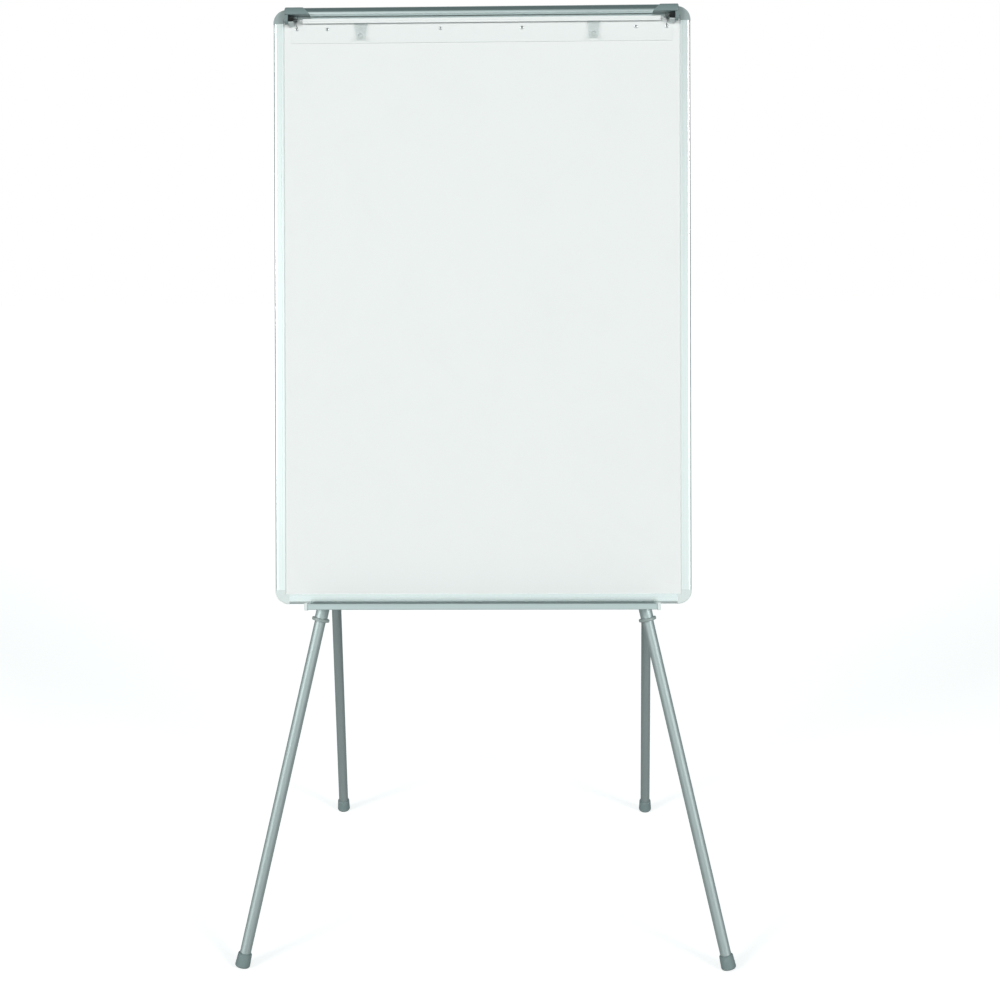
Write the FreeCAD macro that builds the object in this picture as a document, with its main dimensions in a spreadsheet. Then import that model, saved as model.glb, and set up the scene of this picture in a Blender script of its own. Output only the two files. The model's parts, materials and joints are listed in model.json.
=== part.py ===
"""Flipchart easel: a framed writing board on two splayed telescopic front legs and two folding rear legs.

Frames used below, all in millimetres:
  easel frame   +Z up, +X to the right of someone facing the board, +Y towards the back;
                the origin is on the floor, in the middle of the footprint.
  board frame   X across the board, Y into the board from its front face, Z up the board
                from its lower edge; it leans back with the board.
  leg frame     Z along a leg's axis, upwards.
"""
import FreeCAD, Part

import math
import os

import Sketcher

Vector = FreeCAD.Vector
Placement = FreeCAD.Placement
Rotation = FreeCAD.Rotation

SIDES = {"left": -1, "right": 1}
ENDS = {"bottom": 0, "top": 1}

DIMENSIONS = {
    # board and its frame
    "board_width": 700,
    "board_height": 1000,
    "board_lean": 12,
    "board_drop": 619,
    "board_setback": 226.9,
    "rail_face": 17,
    "rail_depth": 17,
    "rail_chamber": 9.5,
    "rail_lip": 1.8,
    "rail_round": 5,
    "panel_thick": 8.9,
    "steel_thick": 0.5,
    "backing_thick": 0.4,
    "corner_leg": 24,
    "corner_round": 22.9,
    "corner_screw_in": 12,
    "corner_screw_side": 5,
    "spigot_length": 20,
    "spigot_play": 0.2,
    # hook plate and pad hooks
    "plate_half": 320,
    "plate_low": 943,
    "plate_high": 983,
    "plate_thick": 1,
    "channel_half": 300,
    "channel_front": 3.4,
    "channel_drop": 7.5,
    "groove_up": 2.6,
    "groove_wide": 0.8,
    "groove_deep": 0.4,
    "hook_left_x": -202,
    "hook_right_x": 188,
    "hook_width": 22.5,
    "hook_tip_width": 14,
    "hook_low": 948,
    "hook_thick": 1.6,
    "peg_radius": 3.5,
    "peg_reach": 13,
    # paper clamp
    "clamp_half": 286.5,
    "clamp_slant": 12.5,
    "clamp_round": 10.4,
    "clamp_wall": 1.4,
    "clamp_cap_end": 329,
    "clamp_arm": 5.5,
    "clamp_cap_grow": 0.8,
    "clamp_spigot": 18,
    "clamp_low": 987.2,
    "clamp_high": 1001,
    "clamp_front": 14,
    "clamp_back": 3,
    "pivot_up": 979,
    "pivot_out": 7,
    "pivot_pin_radius": 1.5,
    "pivot_pin_length": 26,
    "spring_coil": 2.4,
    "spring_wire": 0.4,
    "spring_pitch": 1,
    "spring_turns": 5,
    "knuckle_width": 9,
    "knuckle_round": 6.3,
    "knuckle_seat": 2.3,
    "clamp_foot_low": 971,
    "clamp_foot_front": 0.7,
    "stud_radius": 2,
    "stud_up": 976,
    # pen tray
    "tray_half": 289,
    "tray_reach": 45,
    "tray_low": 6,
    "tray_lip": 4,
    "tray_wall": 1.5,
    "tray_flange": 15,
    "tray_screw_depth": 9,
    "tray_cap": 5,
    "tray_cap_grow": 1,
    # cross rails behind the board
    "cross_thick": 6,
    "cross_height": 30,
    "cross_wall": 1.2,
    "cross_upper": 925,
    "cross_lower": 60,
    "cross_screw_x": 345,
    "apex_half": 94,
    "apex_top_half": 80,
    "apex_height": 46,
    "apex_depth": 26,
    "apex_drop": 16,
    "saddle_half": 18,
    "saddle_depth": 14,
    "saddle_length": 22,
    # legs
    "tube_radius": 11,
    "tube_wall": 1,
    "inner_radius": 9.5,
    "inner_wall": 1.2,
    "front_leg_x": 278.5,
    "front_leg_back": 35,
    "front_leg_start": 29,
    "front_splay": 12.97,
    "front_tube": 1000,
    "rear_leg_x": 285,
    "rear_leg_back": 50,
    "rear_spread": 23.5,
    "rear_splay": 1.5,
    "rear_tube": 916,
    "rear_neck": 14,
    "inner_overlap": 330,
    "running_gap": 0.05,
    "moving_gap": 0.3,
    "bush_plug": 14,
    "bush_guide": 10,
    "bush_length": 12,
    # collars and feet
    "collar_radius": 15,
    "collar_height": 5.2,
    "collar_lip": 2.2,
    "foot_radius": 13,
    "foot_top_radius": 11.8,
    "foot_height": 25,
    "foot_floor": 5,
    "foot_round": 4.5,
    "foot_trim": 0.5,
    # hardware
    "screw_head": 3.5,
    "screw_shank": 1.75,
    "screw_rise": 1.8,
    "screw_length": 8,
    "recess_arm": 1.9,
    "recess_half": 0.45,
    "recess_deep": 1.1,
    "hinge_pin_radius": 3,
    "eye_radius": 9,
    "eye_half": 10,
    "eye_plug": 22,
    "ear_round": 9,
    "bracket_thick": 3,
    "bracket_half_width": 25,
    "bracket_half_height": 13,
    "bracket_screw_x": 19,
    "pin_head": 4.5,
    "pin_head_rise": 1.5,
}

PLATE_SCREWS = (68.5, 259, 310.5)
TRAY_SCREWS = (80, 240)
PLATE_SCREW_UP = 966.5

doc = FreeCAD.newDocument("flipchart_easel")
sheet = doc.addObject("Spreadsheet::Sheet", "Dims")
for row, (alias, size) in enumerate(DIMENSIONS.items(), start=1):
    sheet.set(f"A{row}", alias.replace("_", " "))
    sheet.set(f"B{row}", str(size))
    sheet.setAlias(f"B{row}", alias)
doc.recompute()
dims = {alias: float(sheet.get(alias)) for alias in DIMENSIONS}


# ---------------------------------------------------------------- modelling helpers

def number(expression):
    """The value of an expression that reads the sheet."""
    result = probe.evalExpression(str(expression))
    return float(getattr(result, "Value", result))


probe = doc.addObject("App::FeaturePython", "probe")


def new_body(label, placement=None):
    """An empty body with its node's name and place."""
    body = doc.addObject("PartDesign::Body", label)
    body.Label = label
    body.Placement = placement or Placement()
    return body


def new_sketch(body, plane, offset="0"):
    """A sketch on one of the body's own origin planes, moved along the plane's normal."""
    sketch = body.newObject("Sketcher::SketchObject", f"{body.Name}_sketch")
    origin = next(item for item in body.Origin.OriginFeatures if item.Role == f"{plane}_Plane")
    sketch.AttachmentSupport = [(origin, "")]
    sketch.MapMode = "FlatFace"
    sketch.setExpression("AttachmentOffset.Base.z", str(offset))
    return sketch


def locate(sketch, geometry, point, across, up):
    """Hold one point of a sketch at two expressions from its origin."""
    for kind, place in (("DistanceX", across), ("DistanceY", up)):
        constraint = Sketcher.Constraint(kind, -1, 1, geometry, point, number(place))
        index = sketch.addConstraint(constraint)
        sketch.setExpression(f"Constraints[{index}]", str(place))


def draw_polygon(sketch, points):
    """A closed outline whose corners stand at the given pairs of expressions."""
    corners = [Vector(number(across), number(up), 0) for across, up in points]
    first = sketch.GeometryCount
    count = len(points)
    for index, corner in enumerate(corners):
        sketch.addGeometry(Part.LineSegment(corner, corners[(index + 1) % count]), False)
    for index in range(count):
        following = first + (index + 1) % count
        sketch.addConstraint(Sketcher.Constraint("Coincident", first + index, 2, following, 1))
    for index, (across, up) in enumerate(points):
        locate(sketch, first + index, 1, across, up)


def draw_circle(sketch, radius, across="0", up="0"):
    """A circle with a bound radius and centre."""
    centre = Vector(number(across), number(up), 0)
    circle = Part.Circle(centre, Vector(0, 0, 1), number(radius))
    geometry = sketch.addGeometry(circle, False)
    index = sketch.addConstraint(Sketcher.Constraint("Radius", geometry, number(radius)))
    sketch.setExpression(f"Constraints[{index}]", str(radius))
    locate(sketch, geometry, 3, across, up)


def box_points(low, high):
    """The corners of a rectangle between two corners."""
    return [(low[0], low[1]), (high[0], low[1]), (high[0], high[1]), (low[0], high[1])]


def pad(body, sketch, length, midplane=False, backwards=False):
    """Add the sketch's area, pushed along its normal."""
    feature = body.newObject("PartDesign::Pad", f"{body.Name}_pad")
    feature.Profile = sketch
    feature.setExpression("Length", str(length))
    feature.Midplane = midplane
    feature.Reversed = backwards
    doc.recompute()
    return feature


def pocket(body, sketch, length, midplane=False, backwards=False):
    """Cut the sketch's area out of the body; the cut must take something away."""
    before = body.Shape.Volume
    feature = body.newObject("PartDesign::Pocket", f"{body.Name}_pocket")
    feature.Profile = sketch
    feature.setExpression("Length", str(length))
    feature.Midplane = midplane
    feature.Reversed = backwards
    doc.recompute()
    if not body.Shape.Volume < before - 1e-3:
        raise RuntimeError(f"{body.Label}: a pocket cut nothing")
    return feature


def turn(body, points):
    """A turned piece: an outline of radius and height, spun about Z."""
    sketch = new_sketch(body, "XZ")
    draw_polygon(sketch, points)
    feature = body.newObject("PartDesign::Revolution", f"{body.Name}_turn")
    feature.Profile = sketch
    feature.ReferenceAxis = (sketch, ["V_Axis"])
    feature.Angle = 360
    doc.recompute()
    return feature


def round_edges(body, radius, chosen):
    """Round the edges of the body's last shape that the test picks out."""
    base = body.Tip
    names = [f"Edge{index}" for index, edge in enumerate(base.Shape.Edges, start=1) if chosen(edge)]
    if not names:
        raise RuntimeError(f"{body.Label}: no edge to round")
    feature = body.newObject("PartDesign::Fillet", f"{body.Name}_round")
    feature.Base = (base, names)
    feature.setExpression("Radius", str(radius))
    doc.recompute()
    return feature


def runs_along(edge, axis):
    """Whether a straight edge is parallel to an axis."""
    if len(edge.Vertexes) != 2 or not isinstance(edge.Curve, Part.Line):
        return False
    return abs(edge.Curve.Direction.dot(axis)) > 0.999


def near(edge, **place):
    """Whether an edge's middle is at the given coordinates."""
    middle = edge.CenterOfMass
    return all(abs(getattr(middle, axis) - value) < 0.05 for axis, value in place.items())


def extrusion(label, points, low, high, axis="x", holes=()):
    """A straight profile: its outlines drawn across the axis, from low to high along it."""
    plane = {"x": "YZ", "z": "XY"}[axis]
    body = new_body(label, BOARD)
    sketch = new_sketch(body, plane, low)
    draw_polygon(sketch, points)
    for hole in holes:
        draw_polygon(sketch, hole)
    pad(body, sketch, f"({high}) - ({low})")
    return body


def drill(body, plane, centres, start, depth, radius="Dims.screw_shank"):
    """Round holes into the body from a plane at start, cutting towards the plane's back."""
    sketch = new_sketch(body, plane, start)
    for across, up in centres:
        draw_circle(sketch, radius, across, up)
    return pocket(body, sketch, depth)


def tube(label, placement, radius, wall, low, length):
    """A round tube along the leg's axis."""
    body = new_body(label, placement)
    sketch = new_sketch(body, "XY", low)
    draw_circle(sketch, radius)
    draw_circle(sketch, f"{radius} - {wall}")
    pad(body, sketch, length)
    return body


def group(label, template, places):
    """One node of identical pieces: the template's shape, repeated."""
    shape = template.Shape.copy()
    shape.Placement = Placement()
    node = doc.addObject("Part::Feature", label)
    node.Label = label
    copies = []
    for place in places:
        piece = shape.copy()
        piece.Placement = place
        copies.append(piece)
    node.Shape = Part.makeCompound(copies)
    return node


# ---------------------------------------------------------------- frames

BOARD = Placement(
    Vector(0, -dims["board_setback"], dims["board_drop"]),
    Rotation(Vector(1, 0, 0), -dims["board_lean"]),
)


def on_board(across, depth, up, rotation=None):
    """A placement given in the board frame."""
    return BOARD * Placement(Vector(across, depth, up), rotation or Rotation())


def front_frame(side):
    """The frame of a front leg, from the lower end of its outer tube."""
    splay = Rotation(Vector(0, 1, 0), -side * dims["front_splay"])
    return on_board(side * dims["front_leg_x"], dims["front_leg_back"], -dims["front_leg_start"], splay)


def hinge_frame(side):
    """The frame of a rear leg's hinge: X is the pin's axis and Y points off the board's back."""
    splay = Rotation(Vector(0, 1, 0), -side * dims["rear_splay"])
    return on_board(side * dims["rear_leg_x"], dims["rear_leg_back"], dims["cross_upper"], splay)


def rear_frame(side):
    """The frame of an open rear leg, from its hinge pin."""
    return hinge_frame(side) * Placement(Vector(), Rotation(Vector(1, 0, 0), dims["rear_spread"]))


def foot_place(leg):
    """How far below the leg frame's origin the foot's underside comes, so that its rim meets the floor."""
    upright = leg.Rotation.multVec(Vector(0, 0, 1)).z
    aside = math.sqrt(1 - upright * upright)
    rim = (dims["foot_radius"] - dims["foot_round"]) * aside
    drop = leg.Base.z - rim - dims["foot_round"] + dims["foot_trim"]
    return dims["foot_round"] + drop / upright


# ---------------------------------------------------------------- board and frame

def make_panel():
    """The steel writing surface, its core and the backing sheet, stacked into the frame."""
    half = "Dims.board_width / 2 - Dims.rail_chamber"
    top = "Dims.board_height - Dims.rail_chamber"
    front = "Dims.rail_lip"
    core = f"({front} + Dims.steel_thick)"
    backing = f"({front} + Dims.panel_thick - Dims.backing_thick)"
    layers = (
        ("writing_surface", front, "Dims.steel_thick"),
        ("board_core", core, "Dims.panel_thick - Dims.steel_thick - Dims.backing_thick"),
        ("backing_sheet", backing, "Dims.backing_thick"),
    )
    centres = [(side * across, PLATE_SCREW_UP) for side in SIDES.values() for across in PLATE_SCREWS]
    reach = "Dims.screw_length + Dims.rail_lip - Dims.plate_thick"
    for label, depth, thick in layers:
        body = new_body(label, BOARD)
        sketch = new_sketch(body, "XZ", f"-{depth}")
        draw_polygon(sketch, box_points((f"-({half})", "Dims.rail_chamber"), (half, top)))
        pad(body, sketch, thick, backwards=True)
        if label != "backing_sheet":
            drill(body, "XZ", centres, "0", reach)


def rail_outline():
    """The frame rail's section: distance in from the outer edge, and depth from the front face."""
    inner = "Dims.rail_face"
    chamber = "Dims.rail_chamber"
    lip = "Dims.rail_lip"
    back = "Dims.rail_lip + Dims.panel_thick"
    return [
        ("0", "0"),
        (f"{inner} - 4", "0"),
        (f"{inner} - 4", "0.6"),
        (f"{inner} - 3.2", "0.6"),
        (f"{inner} - 3.2", "0"),
        (inner, "0"),
        (inner, lip),
        (chamber, lip),
        (chamber, back),
        (inner, back),
        (inner, f"{back} + 1.5"),
        (chamber, f"{back} + 1.5"),
        (chamber, "Dims.rail_depth"),
        ("0", "Dims.rail_depth"),
    ]


def chamber_outline(shrink="0"):
    """The hollow inside the rail, or a spigot that fills it with some play."""
    near_edge = f"2.2 + {shrink}"
    return box_points(
        (near_edge, near_edge), (f"Dims.rail_chamber - 1.5 - {shrink}", f"Dims.rail_depth - 2 - {shrink}")
    )


def make_rails():
    """Four extruded rails, mitred by their corner pieces, with the corner screws' holes."""
    width = "Dims.board_width"
    height = "Dims.board_height"
    corner = "Dims.corner_leg"
    turns = {
        "left": (0, (-dims["board_width"] / 2, 0, 0), height),
        "bottom": (90, (dims["board_width"] / 2, 0, 0), width),
        "right": (180, (dims["board_width"] / 2, 0, dims["board_height"]), height),
        "top": (270, (-dims["board_width"] / 2, 0, dims["board_height"]), width),
    }
    for name, (angle, base, span) in turns.items():
        spin = Rotation(Vector(0, 1, 0), -angle)
        body = new_body(f"frame_rail_{name}", BOARD * Placement(Vector(*base), spin))
        sketch = new_sketch(body, "XY", corner)
        draw_polygon(sketch, rail_outline())
        draw_polygon(sketch, chamber_outline())
        pad(body, sketch, f"{span} - 2 * {corner}")
        round_edges(body, "Dims.rail_round", lambda edge: near(edge, x=0, y=0))
        side = "Dims.corner_screw_side"
        inset = f"{corner} + Dims.corner_screw_in"
        screws = [(side, inset), (side, f"{span} - ({inset})")]
        if name in SIDES:
            places = ["Dims.cross_lower", "Dims.cross_upper"]
            if name == "right":
                places = [f"{height} - {place}" for place in places]
            screws += [(side, place) for place in places]
        drill(body, "XZ", screws, "-(Dims.rail_depth - 3)", "3")
        if name == "bottom":
            depth = "Dims.tray_screw_depth"
            middle = f"{width} / 2"
            spots = [sign * across for sign in SIDES.values() for across in TRAY_SCREWS]
            screws = [(depth, f"{middle} + {spot}") for spot in spots]
            drill(body, "YZ", screws, "3", "3")


def make_corners():
    """Moulded corner pieces: a rounded quarter with two spigots that plug into the rails."""
    leg = "Dims.corner_leg"
    depth = "Dims.rail_depth"
    play = "Dims.spigot_play"
    spins = {(-1, 0): 0, (1, 0): -90, (1, 1): 180, (-1, 1): 90}
    for end, high in ENDS.items():
        for name, side in SIDES.items():
            spin = Rotation(Vector(0, 1, 0), spins[(side, high)])
            base = on_board(side * dims["board_width"] / 2, 0, high * dims["board_height"], spin)
            body = new_body(f"frame_corner_{end}_{name}", base)
            sketch = new_sketch(body, "XZ")
            draw_polygon(sketch, box_points(("0", "0"), (leg, leg)))
            pad(body, sketch, depth, backwards=True)
            round_edges(body, "Dims.corner_round", lambda edge: near(edge, x=0, z=0))
            window = new_sketch(body, "XZ")
            face = "Dims.rail_face"
            draw_polygon(window, box_points((face, face), (f"{leg} + 1", f"{leg} + 1")))
            pocket(body, window, depth)
            round_edges(body, "1.6", lambda edge: near(edge, y=0) and outer_rim(edge))
            slot = new_sketch(body, "XZ", "-Dims.rail_lip")
            chamber = "Dims.rail_chamber"
            draw_polygon(slot, box_points((chamber, chamber), (f"{leg} + 1", f"{leg} + 1")))
            pocket(body, slot, "Dims.panel_thick")
            for plane in ("XY", "YZ"):
                outline = chamber_outline(play)
                if plane == "YZ":
                    outline = [(up, across) for across, up in outline]
                spigot = new_sketch(body, plane, leg)
                draw_polygon(spigot, outline)
                pad(body, spigot, "Dims.spigot_length")
            inset = f"{leg} + Dims.corner_screw_in"
            screws = [("Dims.corner_screw_side", inset), (inset, "Dims.corner_screw_side")]
            drill(body, "XZ", screws, f"-({depth} - 2 - {play} - 7)", "7")


def outer_rim(edge):
    """Whether an edge of a corner piece belongs to its outer outline."""
    middle = edge.CenterOfMass
    return min(middle.x, middle.z) < dims["corner_leg"] / 2 and min(middle.x, middle.z) < 8


def make_hook_plate():
    """The plate under the top rail, with a downward channel that the pad hooks hang and slide in."""
    thick = "Dims.plate_thick"
    back = "Dims.rail_lip"
    front = "-Dims.channel_front"
    low = "Dims.plate_low"
    high = "Dims.plate_high"
    mouth = "Dims.plate_high - Dims.channel_drop"
    groove = f"{mouth} + Dims.groove_up"
    outline = [
        (f"{back} - {thick}", low),
        (back, low),
        (back, high),
        (front, high),
        (front, f"{groove} + Dims.groove_wide"),
        (f"{front} + Dims.groove_deep", f"{groove} + 0.75 * Dims.groove_wide"),
        (f"{front} + Dims.groove_deep", f"{groove} + 0.25 * Dims.groove_wide"),
        (front, groove),
        (front, mouth),
        (f"{front} + 2 * {thick}", mouth),
        (f"{front} + 2 * {thick}", f"{mouth} + {thick}"),
        (f"{front} + {thick}", f"{mouth} + {thick}"),
        (f"{front} + {thick}", f"{high} - {thick}"),
        (f"{back} - {thick}", f"{high} - {thick}"),
    ]
    body = extrusion("hook_plate", outline, "-Dims.plate_half", "Dims.plate_half")
    for side in SIDES.values():
        ends = sorted((f"{side} * Dims.channel_half", f"{side} * (Dims.plate_half + 1)"), key=number)
        sketch = new_sketch(body, "YZ", ends[1])
        below = (f"{front} - 1", f"{mouth} - 1.5")
        above = (f"{back} - {thick}", f"{high} + 1")
        draw_polygon(sketch, box_points(below, above))
        pocket(body, sketch, f"({ends[1]}) - ({ends[0]})")
    centres = [(side * across, PLATE_SCREW_UP) for side in SIDES.values() for across in PLATE_SCREWS]
    drill(body, "XZ", centres, "0", "3")
    stud = "Dims.clamp_cap_end - Dims.clamp_arm - Dims.moving_gap - Dims.knuckle_width / 2"
    studs = [(f"{side} * ({stud})", "Dims.stud_up") for side in SIDES.values()]
    drill(body, "XZ", studs, "0", "3", "Dims.stud_radius + Dims.running_gap")


def make_pad_hooks():
    """Clear tabs that hang from the channel and carry a peg for the pad's punched holes."""
    front = "-Dims.channel_front"
    gap = "Dims.moving_gap"
    wall = "Dims.plate_thick"
    thick = "Dims.hook_thick"
    neck = f"{front} + 2 * {wall} + {gap}"
    tab = f"{front} + 0.4"
    roof = f"Dims.plate_high - {wall} - {gap}"
    mouth = "Dims.plate_high - Dims.channel_drop"
    outline = [
        (tab, "Dims.hook_low"),
        (f"{tab} + {thick}", "Dims.hook_low"),
        (f"{tab} + {thick}", f"{mouth} - 2.6"),
        (f"{neck} + {thick}", f"{mouth} - 2.6"),
        (f"{neck} + {thick}", roof),
        (f"{front} + {wall} + {gap}", roof),
        (f"{front} + {wall} + {gap}", f"{mouth} + {wall} + {gap}"),
        (neck, f"{mouth} + {wall} + {gap}"),
        (neck, f"{mouth} - {gap}"),
        (tab, f"{mouth} - {gap}"),
    ]
    wide = "Dims.hook_width / 2"
    tip = "Dims.hook_tip_width / 2"
    for name in SIDES:
        place = dims[f"hook_{name}_x"]
        body = new_body(f"pad_hook_{name}", on_board(place, 0, 0))
        sketch = new_sketch(body, "YZ", f"-{wide}")
        draw_polygon(sketch, outline)
        pad(body, sketch, "Dims.hook_width")
        for side in SIDES.values():
            sketch = new_sketch(body, "XZ", "5")
            corner = [
                (f"{side} * {tip}", "Dims.hook_low - 1"),
                (f"{side} * {tip}", "Dims.hook_low"),
                (f"{side} * {wide}", f"{mouth} - 1"),
                (f"{side} * ({wide} + 1)", f"{mouth} - 1"),
                (f"{side} * ({wide} + 1)", "Dims.hook_low - 1"),
            ]
            draw_polygon(sketch, corner)
            pocket(body, sketch, "10")
        peg = new_sketch(body, "XZ", f"-({tab} + 1)")
        draw_circle(peg, "Dims.peg_radius", "0", "Dims.hook_low + Dims.peg_radius + 0.5")
        pad(body, peg, "Dims.peg_reach")
        tip_depth = number(f"{tab} + 1 - Dims.peg_reach")
        round_edges(body, "1", lambda edge: near(edge, y=tip_depth))


def bar_outline(grow="0"):
    """The clamp bar's section, as depth and height, with room for its rounded front."""
    front = f"-Dims.clamp_front - {grow}"
    back = f"-Dims.clamp_back + {grow}"
    low = "Dims.clamp_low"
    high = f"Dims.clamp_high + {grow}"
    return box_points((front, low), (back, high))


def round_bar(body, grow):
    """Round the bar's front: a large upper quarter and a small lower edge."""
    front = -dims["clamp_front"] - grow
    high = dims["clamp_high"] + grow
    round_edges(body, "Dims.clamp_round", lambda edge: near(edge, y=front, z=high))
    round_edges(body, "1.2", lambda edge: near(edge, y=front, z=dims["clamp_low"]))


def cut_slant(body, side, limit):
    """Cut the slanted joint between the bar and an end cap, on the side where the limit lies."""
    half = "Dims.clamp_half"
    low = "Dims.clamp_low - 2"
    high = "Dims.clamp_high + 2"
    rise = "(Dims.clamp_high - Dims.clamp_low)"
    foot = f"{side} * ({half} - 2 * Dims.clamp_slant / {rise})"
    head = f"{side} * ({half} + Dims.clamp_slant + 2 * Dims.clamp_slant / {rise})"
    across = f"{side} * ({limit})"
    sketch = new_sketch(body, "XZ", "Dims.clamp_front + 2")
    draw_polygon(sketch, [(foot, low), (across, low), (across, high), (head, high)])
    pocket(body, sketch, "Dims.clamp_front + 2")


def make_clamp():
    """The spring-loaded paper clamp across the top: bar, grip strip and two pivoted end caps."""
    half = "Dims.clamp_half"
    reach = f"({half} + Dims.clamp_slant)"
    wall = "Dims.clamp_wall"
    body = extrusion("clamp_bar", bar_outline(), f"-{reach}", reach)
    round_bar(body, 0)
    hollow = new_sketch(body, "YZ", reach)
    low = f"Dims.clamp_low + {wall}"
    chamfer = "(Dims.clamp_round - 2.4)"
    core = [
        (f"-Dims.clamp_front + {wall}", low),
        (f"-Dims.clamp_back - {wall}", low),
        (f"-Dims.clamp_back - {wall}", f"Dims.clamp_high - {wall}"),
        (f"-Dims.clamp_front + {chamfer}", f"Dims.clamp_high - {wall}"),
        (f"-Dims.clamp_front + {wall}", f"Dims.clamp_high - {chamfer}"),
    ]
    draw_polygon(hollow, core)
    pocket(body, hollow, f"2 * {reach}")
    for side in SIDES.values():
        cut_slant(body, side, f"{reach} + 2")
    strip = box_points(("-Dims.clamp_back", "Dims.clamp_low + 1.5"), ("-0.4", "Dims.clamp_high - 2.5"))
    extrusion("clamp_grip_strip", strip, f"-{half} + 2", f"{half} - 2")
    for name, side in SIDES.items():
        make_clamp_cap(name, side, core)


def make_clamp_cap(name, side, core):
    """A moulded end cap: a slanted block, a spigot into the bar and a pivot arm."""
    half = "Dims.clamp_half"
    end = "Dims.clamp_cap_end"
    arm = f"{end} - Dims.clamp_arm"
    body = new_body(f"clamp_end_cap_{name}", BOARD)
    grow = dims["clamp_cap_grow"]
    sketch = new_sketch(body, "YZ", f"{side} * {half}")
    draw_polygon(sketch, bar_outline("Dims.clamp_cap_grow"))
    pad(body, sketch, f"{end} - {half}", backwards=side < 0)
    round_bar(body, grow)
    outer = side * dims["clamp_cap_end"]
    middle = (dims["clamp_low"] + dims["clamp_high"]) / 2
    round_edges(body, "2", lambda edge: near(edge, x=outer) and edge.CenterOfMass.z > middle)
    cut_slant(body, side, f"{half} - Dims.clamp_slant")
    sketch = new_sketch(body, "YZ", f"{side} * ({arm})")
    out = "-Dims.pivot_out"
    draw_polygon(sketch, box_points((f"{out} - 6", "Dims.pivot_up"), (f"{out} + 5.5", "Dims.clamp_low + 2")))
    pad(body, sketch, "Dims.clamp_arm", backwards=side < 0)
    sketch = new_sketch(body, "YZ", f"{side} * ({arm})")
    draw_circle(sketch, "6", out, "Dims.pivot_up")
    pad(body, sketch, "Dims.clamp_arm", backwards=side < 0)
    sketch = new_sketch(body, "YZ", f"{side} * ({arm} - 1)")
    draw_circle(sketch, "Dims.pivot_pin_radius + Dims.running_gap", out, "Dims.pivot_up")
    pocket(body, sketch, "Dims.clamp_arm + 2", backwards=side > 0)
    spigot = new_sketch(body, "YZ", f"{side} * ({half} + Dims.clamp_slant)")
    inset = "Dims.moving_gap"
    shrunk = [
        (f"{core[0][0]} + {inset}", f"{core[0][1]} + {inset}"),
        (f"{core[1][0]} - {inset}", f"{core[1][1]} + {inset}"),
        (f"{core[2][0]} - {inset}", f"{core[2][1]} - {inset}"),
        (f"{core[3][0]} + {inset}", f"{core[3][1]} - {inset}"),
        (f"{core[4][0]} + {inset}", f"{core[4][1]} - {inset}"),
    ]
    draw_polygon(spigot, shrunk)
    pad(body, spigot, "Dims.clamp_spigot + Dims.clamp_slant", backwards=side > 0)


def make_clamp_mountings():
    """The black knuckles that the clamp turns on, their feet, pins and springs."""
    out = "-Dims.pivot_out"
    up = "Dims.pivot_up"
    outer = "Dims.clamp_cap_end - Dims.clamp_arm - Dims.moving_gap"
    wide = "Dims.knuckle_width"
    seat = f"{up} - Dims.knuckle_seat"
    face = "-Dims.clamp_foot_front"
    for name, side in SIDES.items():
        body = new_body(f"clamp_knuckle_{name}", BOARD)
        sketch = new_sketch(body, "YZ", f"{side} * ({outer})")
        draw_polygon(sketch, box_points((out, seat), (face, f"{up} + Dims.knuckle_round")))
        pad(body, sketch, wide, backwards=side > 0)
        sketch = new_sketch(body, "YZ", f"{side} * ({outer})")
        draw_circle(sketch, "Dims.knuckle_round", out, up)
        pad(body, sketch, wide, backwards=side > 0)
        sketch = new_sketch(body, "YZ", f"{side} * ({outer})")
        draw_polygon(sketch, box_points((f"{out} - 8", f"{up} - 8"), ("0", seat)))
        pocket(body, sketch, wide, backwards=side < 0)
        sketch = new_sketch(body, "YZ", f"{side} * ({outer} + 1)")
        draw_circle(sketch, "Dims.pivot_pin_radius", out, up)
        pocket(body, sketch, f"{wide} + 2", backwards=side < 0)
        make_clamp_foot(name, side, outer, seat)
    make_clamp_pins()
    make_clamp_springs()


def make_clamp_foot(name, side, outer, seat):
    """The foot under a knuckle: a plate located by a stud, and a ledge that the knuckle sits on."""
    wide = "Dims.knuckle_width"
    face = "-Dims.clamp_foot_front"
    back = "Dims.rail_lip - Dims.plate_thick"
    body = new_body(f"clamp_foot_{name}", BOARD)
    sketch = new_sketch(body, "YZ", f"{side} * ({outer})")
    draw_polygon(sketch, box_points((face, "Dims.clamp_foot_low"), (back, "Dims.plate_high")))
    pad(body, sketch, wide, backwards=side > 0)
    sketch = new_sketch(body, "YZ", f"{side} * ({outer})")
    ledge = "-Dims.pivot_out - 4"
    draw_polygon(sketch, [(face, f"{seat} - 5"), (face, seat), (ledge, seat), (ledge, f"{seat} - 1.5")])
    pad(body, sketch, wide, backwards=side > 0)
    stud = new_sketch(body, "XZ", f"-({back})")
    draw_circle(stud, "Dims.stud_radius", f"{side} * ({outer} - {wide} / 2)", "Dims.stud_up")
    pad(body, stud, "Dims.plate_thick", backwards=True)


def make_clamp_pins():
    """Two headed pins through the clamp's arms and knuckles."""
    template = new_body("clamp_pin_template")
    pin = "Dims.pivot_pin_radius"
    length = "Dims.pivot_pin_length"
    head = f"2 * {pin}"
    turn(template, [("0", "0"), (head, "0"), (head, "1"), (pin, "1"), (pin, length), ("0", length)])
    places = []
    for side in SIDES.values():
        lie = Rotation(Vector(0, 1, 0), -90 * side)
        across = side * (dims["clamp_cap_end"] + 1.3)
        places.append(on_board(across, -dims["pivot_out"], dims["pivot_up"], lie))
    group("clamp_pivot_pins", template, places)


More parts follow.
